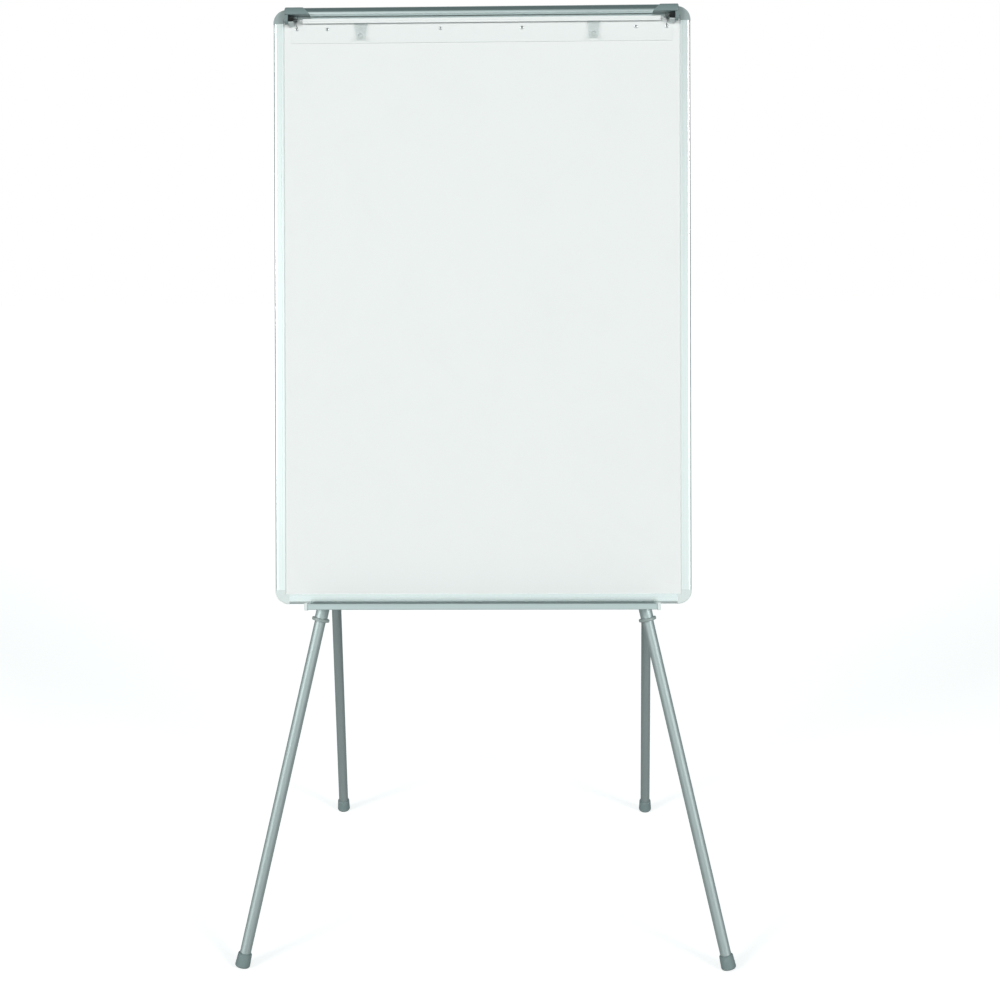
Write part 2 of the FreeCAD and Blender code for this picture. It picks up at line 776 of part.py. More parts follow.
def make_clamp_springs():
    """Two torsion springs around the pins' inner ends."""
    pitch = dims["spring_pitch"]
    radius = dims["spring_coil"]
    inner = dims["clamp_cap_end"] - dims["clamp_arm"] - dims["moving_gap"] - dims["knuckle_width"]
    coils = []
    for side in SIDES.values():
        helix = Part.makeHelix(pitch, pitch * dims["spring_turns"], radius)
        circle = Part.makeCircle(dims["spring_wire"], Vector(radius, 0, 0), Vector(0, 1, 0))
        coil = Part.Wire(helix).makePipeShell([Part.Wire(circle)], True, True)
        lie = Rotation(Vector(0, 1, 0), -90 * side)
        across = side * (inner - dims["spring_wire"] - 0.2)
        coil.Placement = on_board(across, -dims["pivot_out"], dims["pivot_up"], lie)
        coils.append(coil)
    node = doc.addObject("Part::Feature", "clamp_springs")
    node.Label = "clamp_springs"
    node.Shape = Part.makeCompound(coils)


def make_tray():
    """The pen tray: a folded trough hung under the bottom rail, with moulded end caps."""
    wall = "Dims.tray_wall"
    low = "-Dims.tray_low"
    front = "-Dims.tray_reach"
    outline = [
        (front, low),
        (f"2 * {wall}", low),
        (f"2 * {wall}", f"-{wall}"),
        ("Dims.tray_flange", f"-{wall}"),
        ("Dims.tray_flange", "0"),
        (wall, "0"),
        (wall, f"{low} + {wall}"),
        (f"{front} + {wall}", f"{low} + {wall}"),
        (f"{front} + {wall}", "Dims.tray_lip - 2"),
        (f"{front} + 3", "Dims.tray_lip - 2"),
        (f"{front} + 3", "Dims.tray_lip"),
        (front, "Dims.tray_lip"),
    ]
    body = extrusion("pen_tray", outline, "-Dims.tray_half", "Dims.tray_half")
    round_edges(body, "0.8", lambda edge: near(edge, y=-dims["tray_reach"]))
    screws = [(side * across, "Dims.tray_screw_depth") for side in SIDES.values() for across in TRAY_SCREWS]
    drill(body, "XY", screws, "1", "4")
    for name, side in SIDES.items():
        make_tray_cap(name, side)


def make_tray_cap(name, side):
    """A moulded end cap a little larger than the trough's section."""
    grow = "Dims.tray_cap_grow"
    front = f"-Dims.tray_reach - {grow}"
    low = f"-Dims.tray_low - {grow}"
    lip = f"Dims.tray_lip + 1.5 * {grow}"
    top = "-Dims.moving_gap"
    back = f"Dims.tray_flange + {grow}"
    body = new_body(f"tray_end_cap_{name}", BOARD)
    sketch = new_sketch(body, "YZ", f"{side} * Dims.tray_half")
    outline = [(front, low), (back, low), (back, top), ("0", top), (f"{front} + 13", lip), (front, lip)]
    draw_polygon(sketch, outline)
    pad(body, sketch, "Dims.tray_cap", backwards=side < 0)
    depth = number(front)
    end = side * (dims["tray_half"] + dims["tray_cap"])
    round_edges(body, "1.5", lambda edge: near(edge, y=depth) and runs_along(edge, Vector(1, 0, 0)))
    round_edges(body, "1", lambda edge: near(edge, x=end))


# ---------------------------------------------------------------- frame behind the board

def cross_rail_outline(up):
    """The cross rail's flat box section."""
    half = "Dims.cross_height / 2"
    back = "Dims.rail_depth + Dims.cross_thick"
    return box_points(("Dims.rail_depth", f"{up} - {half}"), (back, f"{up} + {half}"))


def make_cross_rails():
    """Two box rails across the back, which carry the legs."""
    wall = "Dims.cross_wall"
    half = "Dims.board_width / 2 - 0.5"
    for name in ("upper", "lower"):
        up = f"Dims.cross_{name}"
        hollow = box_points(
            (f"Dims.rail_depth + {wall}", f"{up} - Dims.cross_height / 2 + {wall}"),
            (f"Dims.rail_depth + Dims.cross_thick - {wall}", f"{up} + Dims.cross_height / 2 - {wall}"),
        )
        outline = cross_rail_outline(up)
        body = extrusion(f"{name}_cross_rail", outline, f"-({half})", half, holes=[hollow])
        screws = [(f"{side} * Dims.cross_screw_x", up) for side in SIDES.values()]
        drill(body, "XZ", screws, "-(Dims.rail_depth - 1)", "Dims.cross_thick + 2")
        if name == "upper":
            centres = []
            for side in SIDES.values():
                for shift in (-1, 1):
                    spot = bracket_screw(side, shift).Base
                    local = BOARD.inverse().multVec(spot)
                    centres.append((str(round(local.x, 3)), str(round(local.z, 3))))
            drill(body, "XZ", centres, "-(Dims.rail_depth + 1)", "Dims.cross_thick")


def bracket_screw(side, shift):
    """Where a hinge bracket's screw head sits, pointing out of the board's back."""
    out = Rotation(Vector(1, 0, 0), -90)
    base = dims["rail_depth"] + dims["cross_thick"] + dims["bracket_thick"] - dims["rear_leg_back"]
    return hinge_frame(side) * Placement(Vector(shift * dims["bracket_screw_x"], base, 0), out)


def make_apex_bracket():
    """The block that ties the tops of both front tubes to the upper cross rail."""
    back = dims["rail_depth"] + dims["cross_thick"]
    block = new_body("apex_block", on_board(0, back, dims["cross_upper"] - dims["apex_drop"]))
    sketch = new_sketch(block, "XZ")
    wide = "Dims.apex_half"
    narrow = "Dims.apex_top_half"
    high = "Dims.apex_height"
    draw_polygon(sketch, [(f"-{wide}", "0"), (wide, "0"), (narrow, high), (f"-{narrow}", high)])
    pad(block, sketch, "Dims.apex_depth", backwards=True)
    round_edges(block, "8", lambda edge: runs_along(edge, Vector(0, 1, 0)))
    round_edges(block, "5", lambda edge: near(edge, y=dims["apex_depth"]))
    solid = block
    for name, side in SIDES.items():
        bore = doc.addObject("Part::Cylinder", f"apex_bore_{name}")
        bore.setExpression("Radius", "Dims.tube_radius")
        bore.setExpression("Height", "Dims.front_tube")
        bore.Placement = front_frame(side)
        cut = doc.addObject("Part::Cut", f"apex_cut_{name}")
        cut.Base = solid
        cut.Tool = bore
        solid = cut
    solid.Label = "apex_bracket"


def make_saddles():
    """Blocks on the lower cross rail that hold the front tubes."""
    back = "-(Dims.front_leg_back - Dims.rail_depth - Dims.cross_thick)"
    half = "Dims.saddle_half"
    depth = dims["saddle_depth"]
    splay = math.radians(dims["front_splay"])
    middle = (dims["cross_lower"] + dims["front_leg_start"]) / math.cos(splay)
    for name, side in SIDES.items():
        body = new_body(f"leg_saddle_{name}", front_frame(side))
        sketch = new_sketch(body, "XY", f"{middle:.2f} - Dims.saddle_length / 2")
        draw_polygon(sketch, box_points((f"-{half}", back), (half, "Dims.saddle_depth")))
        draw_circle(sketch, "Dims.tube_radius")
        pad(body, sketch, "Dims.saddle_length")
        round_edges(body, "6", lambda edge: near(edge, y=depth) and runs_along(edge, Vector(0, 0, 1)))


# ---------------------------------------------------------------- legs

def make_leg_parts(name, place, overlap):
    """The telescoping part of a leg: inner tube, guide bush and foot, below an outer tube's end."""
    reach = foot_place(place)
    tube_end = f"-({reach:.4f} - Dims.foot_floor)"
    tube(
        f"{name[0]}_inner_tube_{name[1]}", place, "Dims.inner_radius", "Dims.inner_wall",
        tube_end, f"{overlap} - ({tube_end})",
    )
    seat = place * Placement(Vector(0, 0, number(overlap)), Rotation())
    bush = new_body(f"{name[0]}_guide_bush_{name[1]}", seat)
    bore = "Dims.inner_radius - Dims.inner_wall"
    guide = "Dims.tube_radius - Dims.tube_wall - Dims.running_gap"
    plug = "-Dims.bush_plug"
    top = "Dims.bush_length"
    turn(bush, [
        ("0", plug), (bore, plug), (bore, "0"), (guide, "0"),
        (guide, "Dims.bush_guide"), (f"{guide} - 2", top), ("0", top),
    ])
    make_foot(name, place, reach)


def make_foot(name, place, reach):
    """A rubber ferrule with a rounded rim, worn flat where it stands on the floor."""
    ferrule = new_body(f"{name[0]}_ferrule_{name[1]}", place * Placement(Vector(0, 0, -reach), Rotation()))
    base = "Dims.foot_radius"
    inner = "Dims.inner_radius"
    high = "Dims.foot_height"
    floor = "Dims.foot_floor"
    top = "Dims.foot_top_radius"
    turn(ferrule, [
        ("0", "0"), (base, "0"), (top, f"{high} - 1.5"), (f"{top} - 1", high), (inner, high), (inner, floor),
        ("0", floor),
    ])
    round_edges(ferrule, "Dims.foot_round", lambda edge: near(edge, z=0))
    ground = doc.addObject("Part::Box", f"{name[0]}_ground_{name[1]}")
    ground.Length = 60
    ground.Width = 60
    ground.Height = 20
    middle = ferrule.Placement.Base
    ground.Placement = Placement(Vector(middle.x - 30, middle.y - 30, -20), Rotation())
    foot = doc.addObject("Part::Cut", f"{name[0]}_foot_{name[1]}")
    foot.Base = ferrule
    foot.Tool = ground
    foot.Label = f"{name[0]}_foot_{name[1]}"


def make_collar(label, place):
    """A twist-lock ring around the outer tube's lower end, with a lip under the tube."""
    ring = "Dims.collar_radius"
    lip = "Dims.inner_radius + Dims.moving_gap"
    socket = "Dims.tube_radius + Dims.running_gap"
    low = "-Dims.collar_lip"
    top = "Dims.collar_height - Dims.collar_lip"
    seat = "-Dims.moving_gap"
    body = new_body(label, place)
    turn(body, [(lip, low), (ring, low), (ring, top), (socket, top), (socket, seat), (lip, seat)])
    round_edges(body, "1.2", is_collar_rim)


def is_collar_rim(edge):
    """Whether an edge is one of the collar's two outer circles."""
    box = edge.BoundBox
    return abs(box.XLength - 2 * dims["collar_radius"]) < 0.1 and box.ZLength < 0.1


def make_front_legs():
    """Both front legs: outer tubes fixed behind the board and telescopic lower tubes."""
    for name, side in SIDES.items():
        place = front_frame(side)
        tube(f"front_outer_tube_{name}", place, "Dims.tube_radius", "Dims.tube_wall", "0", "Dims.front_tube")
        make_collar(f"front_collar_{name}", place)
        make_leg_parts(("front", name), place, "Dims.inner_overlap")


def make_rear_legs():
    """Both rear legs, hung from clevis brackets on the upper cross rail."""
    for name, side in SIDES.items():
        place = rear_frame(side)
        end = "-(Dims.rear_neck + Dims.rear_tube)"
        tube(f"rear_outer_tube_{name}", place, "Dims.tube_radius", "Dims.tube_wall", end, "Dims.rear_tube")
        make_eye(f"rear_hinge_eye_{name}", place)
        make_hinge_bracket(f"rear_hinge_bracket_{name}", hinge_frame(side))
        lower = place * Placement(Vector(0, 0, number(end)), Rotation())
        make_collar(f"rear_collar_{name}", lower)
        make_leg_parts(("rear", name), lower, "Dims.inner_overlap")
    make_hinge_pins()


def make_eye(label, place):
    """The rear tube's top fitting: a plug with a bored eye that turns on the hinge pin."""
    body = new_body(label, place)
    plug = "Dims.tube_radius - Dims.tube_wall"
    neck = "-Dims.rear_neck"
    low = f"{neck} - Dims.eye_plug"
    rim = "Dims.tube_radius"
    turn(body, [
        ("0", low), (plug, low), (plug, neck), (rim, neck),
        (rim, f"{neck} + 3"), (f"{rim} - 3", f"{neck} + 6"), ("0", f"{neck} + 6"),
    ])
    sketch = new_sketch(body, "YZ")
    draw_circle(sketch, "Dims.eye_radius")
    pad(body, sketch, "2 * Dims.eye_half", midplane=True)
    sketch = new_sketch(body, "YZ")
    draw_circle(sketch, "Dims.hinge_pin_radius + Dims.running_gap")
    pocket(body, sketch, "3 * Dims.eye_half", midplane=True)


def make_hinge_bracket(label, place):
    """A folded clevis: a plate screwed to the cross rail and two rounded ears around the eye."""
    body = new_body(label, place)
    base = "Dims.rail_depth + Dims.cross_thick - Dims.rear_leg_back"
    thick = "Dims.bracket_thick"
    wide = "Dims.bracket_half_width"
    high = "Dims.bracket_half_height"
    ear = "Dims.ear_round"
    sketch = new_sketch(body, "XZ", f"-({base})")
    draw_polygon(sketch, box_points((f"-{wide}", f"-{high}"), (wide, high)))
    pad(body, sketch, thick, backwards=True)
    round_edges(body, "4", lambda edge: runs_along(edge, Vector(0, 1, 0)))
    inner = "Dims.eye_half + Dims.moving_gap"
    for side in SIDES.values():
        web = new_sketch(body, "YZ", f"{side} * ({inner})")
        draw_polygon(web, box_points((f"{base} + 1", f"-{ear}"), ("0", ear)))
        pad(body, web, thick, backwards=side < 0)
        end = new_sketch(body, "YZ", f"{side} * ({inner})")
        draw_circle(end, ear)
        pad(body, end, thick, backwards=side < 0)
    bore = new_sketch(body, "YZ")
    draw_circle(bore, "Dims.hinge_pin_radius")
    pocket(body, bore, f"2 * {wide}", midplane=True)
    screws = [(f"{side} * Dims.bracket_screw_x", "0") for side in SIDES.values()]
    drill(body, "XZ", screws, f"-({base} - 1)", f"2 * {thick}")


def make_hinge_pins():
    """Riveted pins through the clevis ears."""
    template = new_body("hinge_pin_template")
    half = "(Dims.eye_half + Dims.moving_gap + Dims.bracket_thick)"
    pin = "Dims.hinge_pin_radius"
    head = "Dims.pin_head"
    end = f"{half} + Dims.pin_head_rise"
    turn(template, [
        ("0", f"-({end})"), (head, f"-({end})"), (head, f"-{half}"), (pin, f"-{half}"), (pin, half),
        (head, half), (head, end), ("0", end),
    ])
    lie = Placement(Vector(), Rotation(Vector(0, 1, 0), 90))
    group("rear_hinge_pins", template, [hinge_frame(side) * lie for side in SIDES.values()])


# ---------------------------------------------------------------- screws

def make_screw_template():
    """One pan-head screw with a cross recess; its head's underside is at the origin."""
    template = new_body("screw_template")
    head = "Dims.screw_head"
    rise = "Dims.screw_rise"
    shank = "Dims.screw_shank"
    low = "-Dims.screw_length"
    turn(template, [
        ("0", low), (shank, low), (shank, "0"), (head, "0"),
        (head, f"{rise} * 0.55"), (f"{head} * 0.6", rise), ("0", rise),
    ])
    sketch = new_sketch(template, "XY", rise)
    arm = "Dims.recess_arm"
    half = "Dims.recess_half"
    draw_polygon(sketch, [
        (half, f"-{arm}"), (half, f"-{half}"), (arm, f"-{half}"), (arm, half), (half, half), (half, arm),
        (f"-{half}", arm), (f"-{half}", half), (f"-{arm}", half), (f"-{arm}", f"-{half}"),
        (f"-{half}", f"-{half}"), (f"-{half}", f"-{arm}"),
    ])
    pocket(template, sketch, "Dims.recess_deep")
    return template


def corner_screw_places():
    """Where the corner pieces' screws stand: two on each corner, from behind."""
    backward = Rotation(Vector(1, 0, 0), -90)
    inset = dims["corner_leg"] + dims["corner_screw_in"]
    edge = dims["corner_screw_side"]
    places = []
    for side in SIDES.values():
        for high in ENDS.values():
            for across, up in ((edge, inset), (inset, edge)):
                x = side * (dims["board_width"] / 2 - across)
                z = high * dims["board_height"] + (1 - 2 * high) * up
                places.append(on_board(x, dims["rail_depth"], z, backward))
    return places


def make_screws():
    """Pan-head screws of one size, grouped by what they hold."""
    template = make_screw_template()
    forward = Rotation(Vector(1, 0, 0), 90)
    backward = Rotation(Vector(1, 0, 0), -90)
    downward = Rotation(Vector(1, 0, 0), 180)
    signs = list(SIDES.values())
    face = dims["rail_lip"] - dims["plate_thick"]
    spots = [side * across for side in signs for across in PLATE_SCREWS]
    plate = [on_board(spot, face, PLATE_SCREW_UP, forward) for spot in spots]
    group("hook_plate_screws", template, plate)
    depth = dims["tray_screw_depth"]
    under = -dims["tray_wall"]
    frame = [on_board(side * across, depth, under, downward) for side in signs for across in TRAY_SCREWS]
    frame += corner_screw_places()
    back = dims["rail_depth"] + dims["cross_thick"]
    for side in signs:
        for name in ("upper", "lower"):
            frame.append(on_board(side * dims["cross_screw_x"], back, dims[f"cross_{name}"], backward))
        frame += [bracket_screw(side, shift) for shift in signs]
    group("frame_screws", template, frame)


# ---------------------------------------------------------------- build and write

HELPERS = ("_template", "_ferrule_", "_ground_", "apex_block", "apex_bore", "apex_cut_left", "probe")


def finished_nodes():
    """The objects that are nodes: every named solid that isn't a helper inside another."""
    kinds = ("PartDesign::Body", "Part::Cut", "Part::Feature")
    return [item for item in doc.Objects
            if item.TypeId in kinds and not any(word in item.Name for word in HELPERS)]


def main():
    """Build every piece, check it and write it."""
    make_panel()
    make_rails()
    make_corners()
    make_hook_plate()
    make_pad_hooks()
    make_clamp()
    make_clamp_mountings()
    make_tray()
    make_cross_rails()
    make_apex_bracket()
    make_saddles()
    make_front_legs()
    make_rear_legs()
    make_screws()
    doc.recompute()
    for item in doc.Objects:
        if {"Invalid", "Error"} & set(item.State):
            raise RuntimeError(f"{item.Label}: {item.State}")
    os.makedirs("parts", exist_ok=True)
    for node in finished_nodes():
        shape = node.Shape
        if shape.isNull() or not shape.isValid():
            raise RuntimeError(f"{node.Label}: the shape isn't valid")
        shape.exportStep(f"parts/{node.Label}.step")
        print(f"{node.Label}: {len(shape.Solids)} solid, {shape.Volume / 1000:.2f} cm3")


main()
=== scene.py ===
"""Flipchart easel: its finished look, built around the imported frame."""
import json
import logging
import math
from dataclasses import dataclass
from enum import Enum

import bmesh
import bpy
from bpy.types import Material, Mesh, Node, NodeSocket, NodeTree, Scene
from mathutils import Matrix, Vector


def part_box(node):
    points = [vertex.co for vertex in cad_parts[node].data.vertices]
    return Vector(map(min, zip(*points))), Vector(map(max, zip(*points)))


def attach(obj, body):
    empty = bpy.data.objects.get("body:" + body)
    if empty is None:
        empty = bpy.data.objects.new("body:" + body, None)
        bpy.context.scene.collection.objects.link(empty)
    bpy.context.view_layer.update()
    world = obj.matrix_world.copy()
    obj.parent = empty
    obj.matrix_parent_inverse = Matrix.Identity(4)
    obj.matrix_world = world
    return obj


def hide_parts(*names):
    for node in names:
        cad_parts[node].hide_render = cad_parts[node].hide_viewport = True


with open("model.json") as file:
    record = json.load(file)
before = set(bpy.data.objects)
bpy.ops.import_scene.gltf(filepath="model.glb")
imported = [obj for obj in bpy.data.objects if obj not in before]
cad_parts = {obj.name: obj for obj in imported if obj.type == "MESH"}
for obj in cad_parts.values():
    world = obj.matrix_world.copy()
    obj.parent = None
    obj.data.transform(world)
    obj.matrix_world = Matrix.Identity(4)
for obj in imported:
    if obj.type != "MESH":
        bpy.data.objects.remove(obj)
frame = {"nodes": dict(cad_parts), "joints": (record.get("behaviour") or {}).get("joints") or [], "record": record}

LOG = logging.getLogger("flipchart_easel")
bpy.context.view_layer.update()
MM = 0.001
SIDES = {"left": -1, "right": 1}
UP = Vector((0.0, 0.0, 1.0))
ACROSS = (1.0, 0.0, 0.0)
DUST_ON_METAL = (0.62, 0.61, 0.58)
DUST_ON_PLASTIC = (0.6, 0.6, 0.57)
SCUFF = (0.2, 0.2, 0.19)

Colour = tuple[float, float, float]
Direction = tuple[float, float, float]
Sockets = bpy.types.bpy_prop_collection


def scaled(colour: Colour, factor: float, lift: float = 0.0) -> Colour:
    """A colour made lighter or darker, no lighter than white."""
    return tuple(min(1.0, channel * factor + lift) for channel in colour)


# ---- frame of reference

@dataclass(frozen=True)
class BoardFrame:
    """The leaning board's own axes: X across, Y into the board, Z up the board."""

    lean: float
    origin: Vector

    @classmethod
    def from_record(cls, rail_depth: float = 17 * MM, rail_start: float = 24 * MM) -> "BoardFrame":
        """Read the lean from the hooks' pegs and the datum from the left rail.

        Args:
            rail_depth: How thick the rail is, front to back.
            rail_start: How far up the board the rail begins.

        Returns:
            The board's frame in the easel's axes.
        """
        mounts = {mount["name"]: mount for mount in frame["record"]["mounts"]}
        lean = math.asin(mounts["pad_peg_left"]["axis"][2])
        low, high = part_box("frame_rail_left")
        span = (high.z - low.z - rail_depth * math.sin(lean)) / math.cos(lean)
        height = high.z - (rail_start + span) * math.cos(lean)
        return cls(lean, Vector((0.0, low.y - rail_start * math.sin(lean), height)))

    @property
    def up_board(self) -> Vector:
        """The direction up the board."""
        return Vector((0.0, math.sin(self.lean), math.cos(self.lean)))

    @property
    def outward(self) -> Vector:
        """The direction out of the board's front face."""
        return Vector((0.0, -math.cos(self.lean), math.sin(self.lean)))

    def place(self, across: float, depth: float, up: float) -> Vector:
        """A point given in millimetres in the board's axes.

        Args:
            across: Distance to the right of the middle.
            depth: Distance behind the front face.
            up: Distance above the lower edge.

        Returns:
            The point in the easel's axes, in metres.
        """
        turned = Matrix.Rotation(-self.lean, 4, "X")
        return Matrix.Translation(self.origin) @ turned @ (Vector((across, depth, up)) * MM)


BOARD = BoardFrame.from_record()
UP_BOARD = tuple(BOARD.up_board)


# ---- node helpers

class Sheet:
    """A small writer of node trees."""

    def __init__(self, tree: NodeTree) -> None:
        """Keep the tree that nodes are added to."""
        self.tree = tree

    def add(self, kind: str, **settings: object) -> Node:
        """Add a node, set its properties, and set or link its inputs.

        Args:
            kind: The node's type name.
            settings: Properties by name, or inputs as in_NAME with spaces as underscores.

        Returns:
            The new node.
        """
        node = self.tree.nodes.new(kind)
        for name, value in settings.items():
            if not name.startswith("in_"):
                setattr(node, name, value)
        for name, value in settings.items():
            if name.startswith("in_"):
                self.put(value, self.find(node.inputs, name[3:]))
        return node

    @staticmethod
    def find(sockets: Sockets, name: str) -> NodeSocket:
        """Find a socket by its number or name.

        Args:
            sockets: A node's inputs.
            name: The number, or the name with spaces as underscores.

        Returns:
            The socket.
        """
        if name.isdigit():
            return sockets[int(name)]
        wanted = name.replace("_", " ").lower()
        return next(socket for socket in sockets if socket.name.lower() == wanted and socket.enabled)

    def put(self, value: object, socket: NodeSocket) -> None:
        """Link an output to an input, or give the input a plain value.

        Args:
            value: The output, or the value.
            socket: The input.
        """
        if isinstance(value, NodeSocket):
            self.tree.links.new(value, socket)
        else:
            socket.default_value = value

    def math(self, operation: str, first: object, second: object = None, clamp: bool = False) -> NodeSocket:
        """A maths node on sockets or numbers.

        Args:
            operation: The node's operation.
            first: A socket or a number.
            second: A socket or a number, if the operation takes one.
            clamp: Whether the result is held between 0 and 1.

        Returns:
            The result's socket.
        """
        node = self.add("ShaderNodeMath", operation=operation, use_clamp=clamp)
        for index, value in enumerate((first, second)):
            if value is not None:
                self.put(value, node.inputs[index])
        return node.outputs[0]

    def ramp(self, value: NodeSocket, low: float, high: float, start: float = 0.0,
             end: float = 1.0) -> NodeSocket:
        """A clamped change of range.

        Args:
            value: What is mapped.
            low: The value that becomes start.
            high: The value that becomes end.
            start: The first result.
            end: The last result.

        Returns:
            The result's socket.
        """
        return self.add("ShaderNodeMapRange", in_Value=value, in_From_Min=low, in_From_Max=high,
                        in_To_Min=start, in_To_Max=end).outputs["Result"]

    def blend(self, mask: NodeSocket, first: object, second: object) -> NodeSocket:
        """Mix two colours by a mask.

        Args:
            mask: The share of the second colour.
            first: A colour or a socket.
            second: A colour or a socket.

        Returns:
            The mixed colour's socket.
        """
        node = self.add("ShaderNodeMix", data_type="RGBA", in_0=mask)
        for index, value in ((6, first), (7, second)):
            self.put(value if isinstance(value, NodeSocket) else (*value, 1.0), node.inputs[index])
        return node.outputs[2]

    def noise(self, vector: NodeSocket, scale: object, **settings: float) -> NodeSocket:
        """A noise texture's value.

        Args:
            vector: The coordinates it reads.
            scale: Its scale, a socket or a number.
            settings: More inputs, as in add.

        Returns:
            The value's socket.
        """
        return self.add("ShaderNodeTexNoise", in_Vector=vector, in_Scale=scale, **settings).outputs[0]

    def bump(self, height: NodeSocket, depth: object) -> NodeSocket:
        """The normal of a surface raised by a height, over a depth in metres."""
        return self.add("ShaderNodeBump", in_Strength=1.0, in_Height=height, in_Distance=depth).outputs[0]

    def split(self, vector: NodeSocket) -> Sockets:
        """The parts X, Y and Z of a vector."""
        return self.add("ShaderNodeSeparateXYZ", in_0=vector).outputs


class Effect(Enum):
    """The surface effects that several finishes share."""

    MOULDED_GRAIN = "moulded_grain"
    DRAWN_LINES = "drawn_lines"
    HANDLING_MARKS = "handling_marks"
    SETTLED_DUST = "settled_dust"
    ORANGE_PEEL = "orange_peel"


class Effects:
    """Builds each shared shader group once."""

    def __init__(self) -> None:
        """Start with no groups made."""
        self.made: dict[Effect, NodeTree] = {}

    def group(self, effect: Effect) -> NodeTree:
        """The group for an effect, built the first time it is asked for.

        Args:
            effect: Which effect.

        Returns:
            The shader node group.
        """
        if effect not in self.made:
            tree = bpy.data.node_groups.new(effect.value, "ShaderNodeTree")
            getattr(self, f"_{effect.value}")(tree)
            self.made[effect] = tree
        return self.made[effect]

    @staticmethod
    def _face(tree: NodeTree, outputs: tuple[str, ...], **inputs: float) -> tuple:
        """Give a group its named sockets: a vector, numbers, and its results.

        Args:
            tree: The group.
            outputs: The results; Normal is a vector and the others are numbers.
            inputs: Each number's default.

        Returns:
            The writer, the group's given sockets and the sockets of its results.
        """
        tree.interface.new_socket(name="Vector", in_out="INPUT", socket_type="NodeSocketVector")
        for name, value in inputs.items():
            socket = tree.interface.new_socket(name=name, in_out="INPUT", socket_type="NodeSocketFloat")
            socket.default_value = value
        for name in outputs:
            kind = "NodeSocketVector" if name == "Normal" else "NodeSocketFloat"
            tree.interface.new_socket(name=name, in_out="OUTPUT", socket_type=kind)
        sheet = Sheet(tree)
        return sheet, sheet.add("NodeGroupInput").outputs, sheet.add("NodeGroupOutput").inputs

    def _moulded_grain(self, tree: NodeTree) -> None:
        """Spark-eroded texture of moulded plastic: pits and pebbles, with a sheen that follows them.

        Args:
            tree: The empty group.
        """
        sheet, given, out = self._face(tree, ("Mask", "Normal"), Scale=900.0, Depth=0.00004)
        pits = sheet.noise(given["Vector"], given["Scale"], in_Detail=3.0, in_Roughness=0.55)
        pebbles = sheet.add("ShaderNodeTexVoronoi", feature="SMOOTH_F1", in_Vector=given["Vector"],
                            in_Scale=given["Scale"]).outputs["Distance"]
        height = sheet.math("ADD", pits, sheet.math("MULTIPLY", pebbles, 0.6))
        sheet.put(sheet.ramp(height, 0.5, 1.2), out["Mask"])
        sheet.put(sheet.bump(height, given["Depth"]), out["Normal"])

    def _drawn_lines(self, tree: NodeTree) -> None:
        """Die lines along an extrusion or a drawn tube; the vector's Z runs along the metal.

        Args:
            tree: The empty group.
        """
        sheet, given, out = self._face(tree, ("Lines", "Normal"), Scale=700.0, Depth=0.00001)
        drawn_out = sheet.add("ShaderNodeVectorMath", operation="MULTIPLY", in_0=given["Vector"],
                              in_1=(1.0, 1.0, 0.004)).outputs[0]
        fine = sheet.noise(drawn_out, given["Scale"], in_Detail=4.0, in_Roughness=0.7)
        broad = sheet.noise(drawn_out, sheet.math("MULTIPLY", given["Scale"], 0.18), in_Detail=2.0)
        lines = sheet.math("ADD", sheet.math("MULTIPLY", fine, 0.65), sheet.math("MULTIPLY", broad, 0.35))
        sheet.put(sheet.ramp(lines, 0.3, 0.7), out["Lines"])
        sheet.put(sheet.bump(lines, given["Depth"]), out["Normal"])

    def _handling_marks(self, tree: NodeTree) -> None:
        """Cloudy smears and finger marks left by use.

        Args:
            tree: The empty group.
        """
        sheet, given, out = self._face(tree, ("Mask",), Size=9.0, Amount=0.5)
        clouds = sheet.noise(given["Vector"], given["Size"], in_Detail=5.0, in_Roughness=0.6,
                             in_Distortion=0.8)
        prints = sheet.noise(given["Vector"], sheet.math("MULTIPLY", given["Size"], 6.0), in_Detail=2.0)
        smear = sheet.ramp(clouds, 0.45, 0.75)
        mixed = sheet.math("MULTIPLY", smear, sheet.ramp(prints, 0.3, 0.7, 0.4, 1.0))
        sheet.put(sheet.math("MULTIPLY", mixed, given["Amount"], clamp=True), out["Mask"])

    def _settled_dust(self, tree: NodeTree) -> None:
        """A thin film of dust on whatever faces up.

        Args:
            tree: The empty group.
        """
        sheet, given, out = self._face(tree, ("Mask",), Amount=0.3)
        normal = sheet.add("ShaderNodeNewGeometry").outputs["Normal"]
        facing = sheet.ramp(sheet.split(normal)["Z"], 0.35, 0.95)
        specks = sheet.noise(given["Vector"], 220.0, in_Detail=4.0, in_Roughness=0.75)
        film = sheet.math("MULTIPLY", facing, sheet.ramp(specks, 0.35, 0.75, 0.3, 1.0))
        sheet.put(sheet.math("MULTIPLY", film, given["Amount"], clamp=True), out["Mask"])

    def _orange_peel(self, tree: NodeTree) -> None:
        """The soft ripple of sprayed and stoved paint.

        Args:
            tree: The empty group.
        """
        sheet, given, out = self._face(tree, ("Normal",), Scale=260.0, Depth=0.00002)
        ripple = sheet.noise(given["Vector"], given["Scale"], in_Detail=1.5, in_Roughness=0.4)
        sheet.put(sheet.bump(ripple, given["Depth"]), out["Normal"])


EFFECTS = Effects()


# ---- finishes

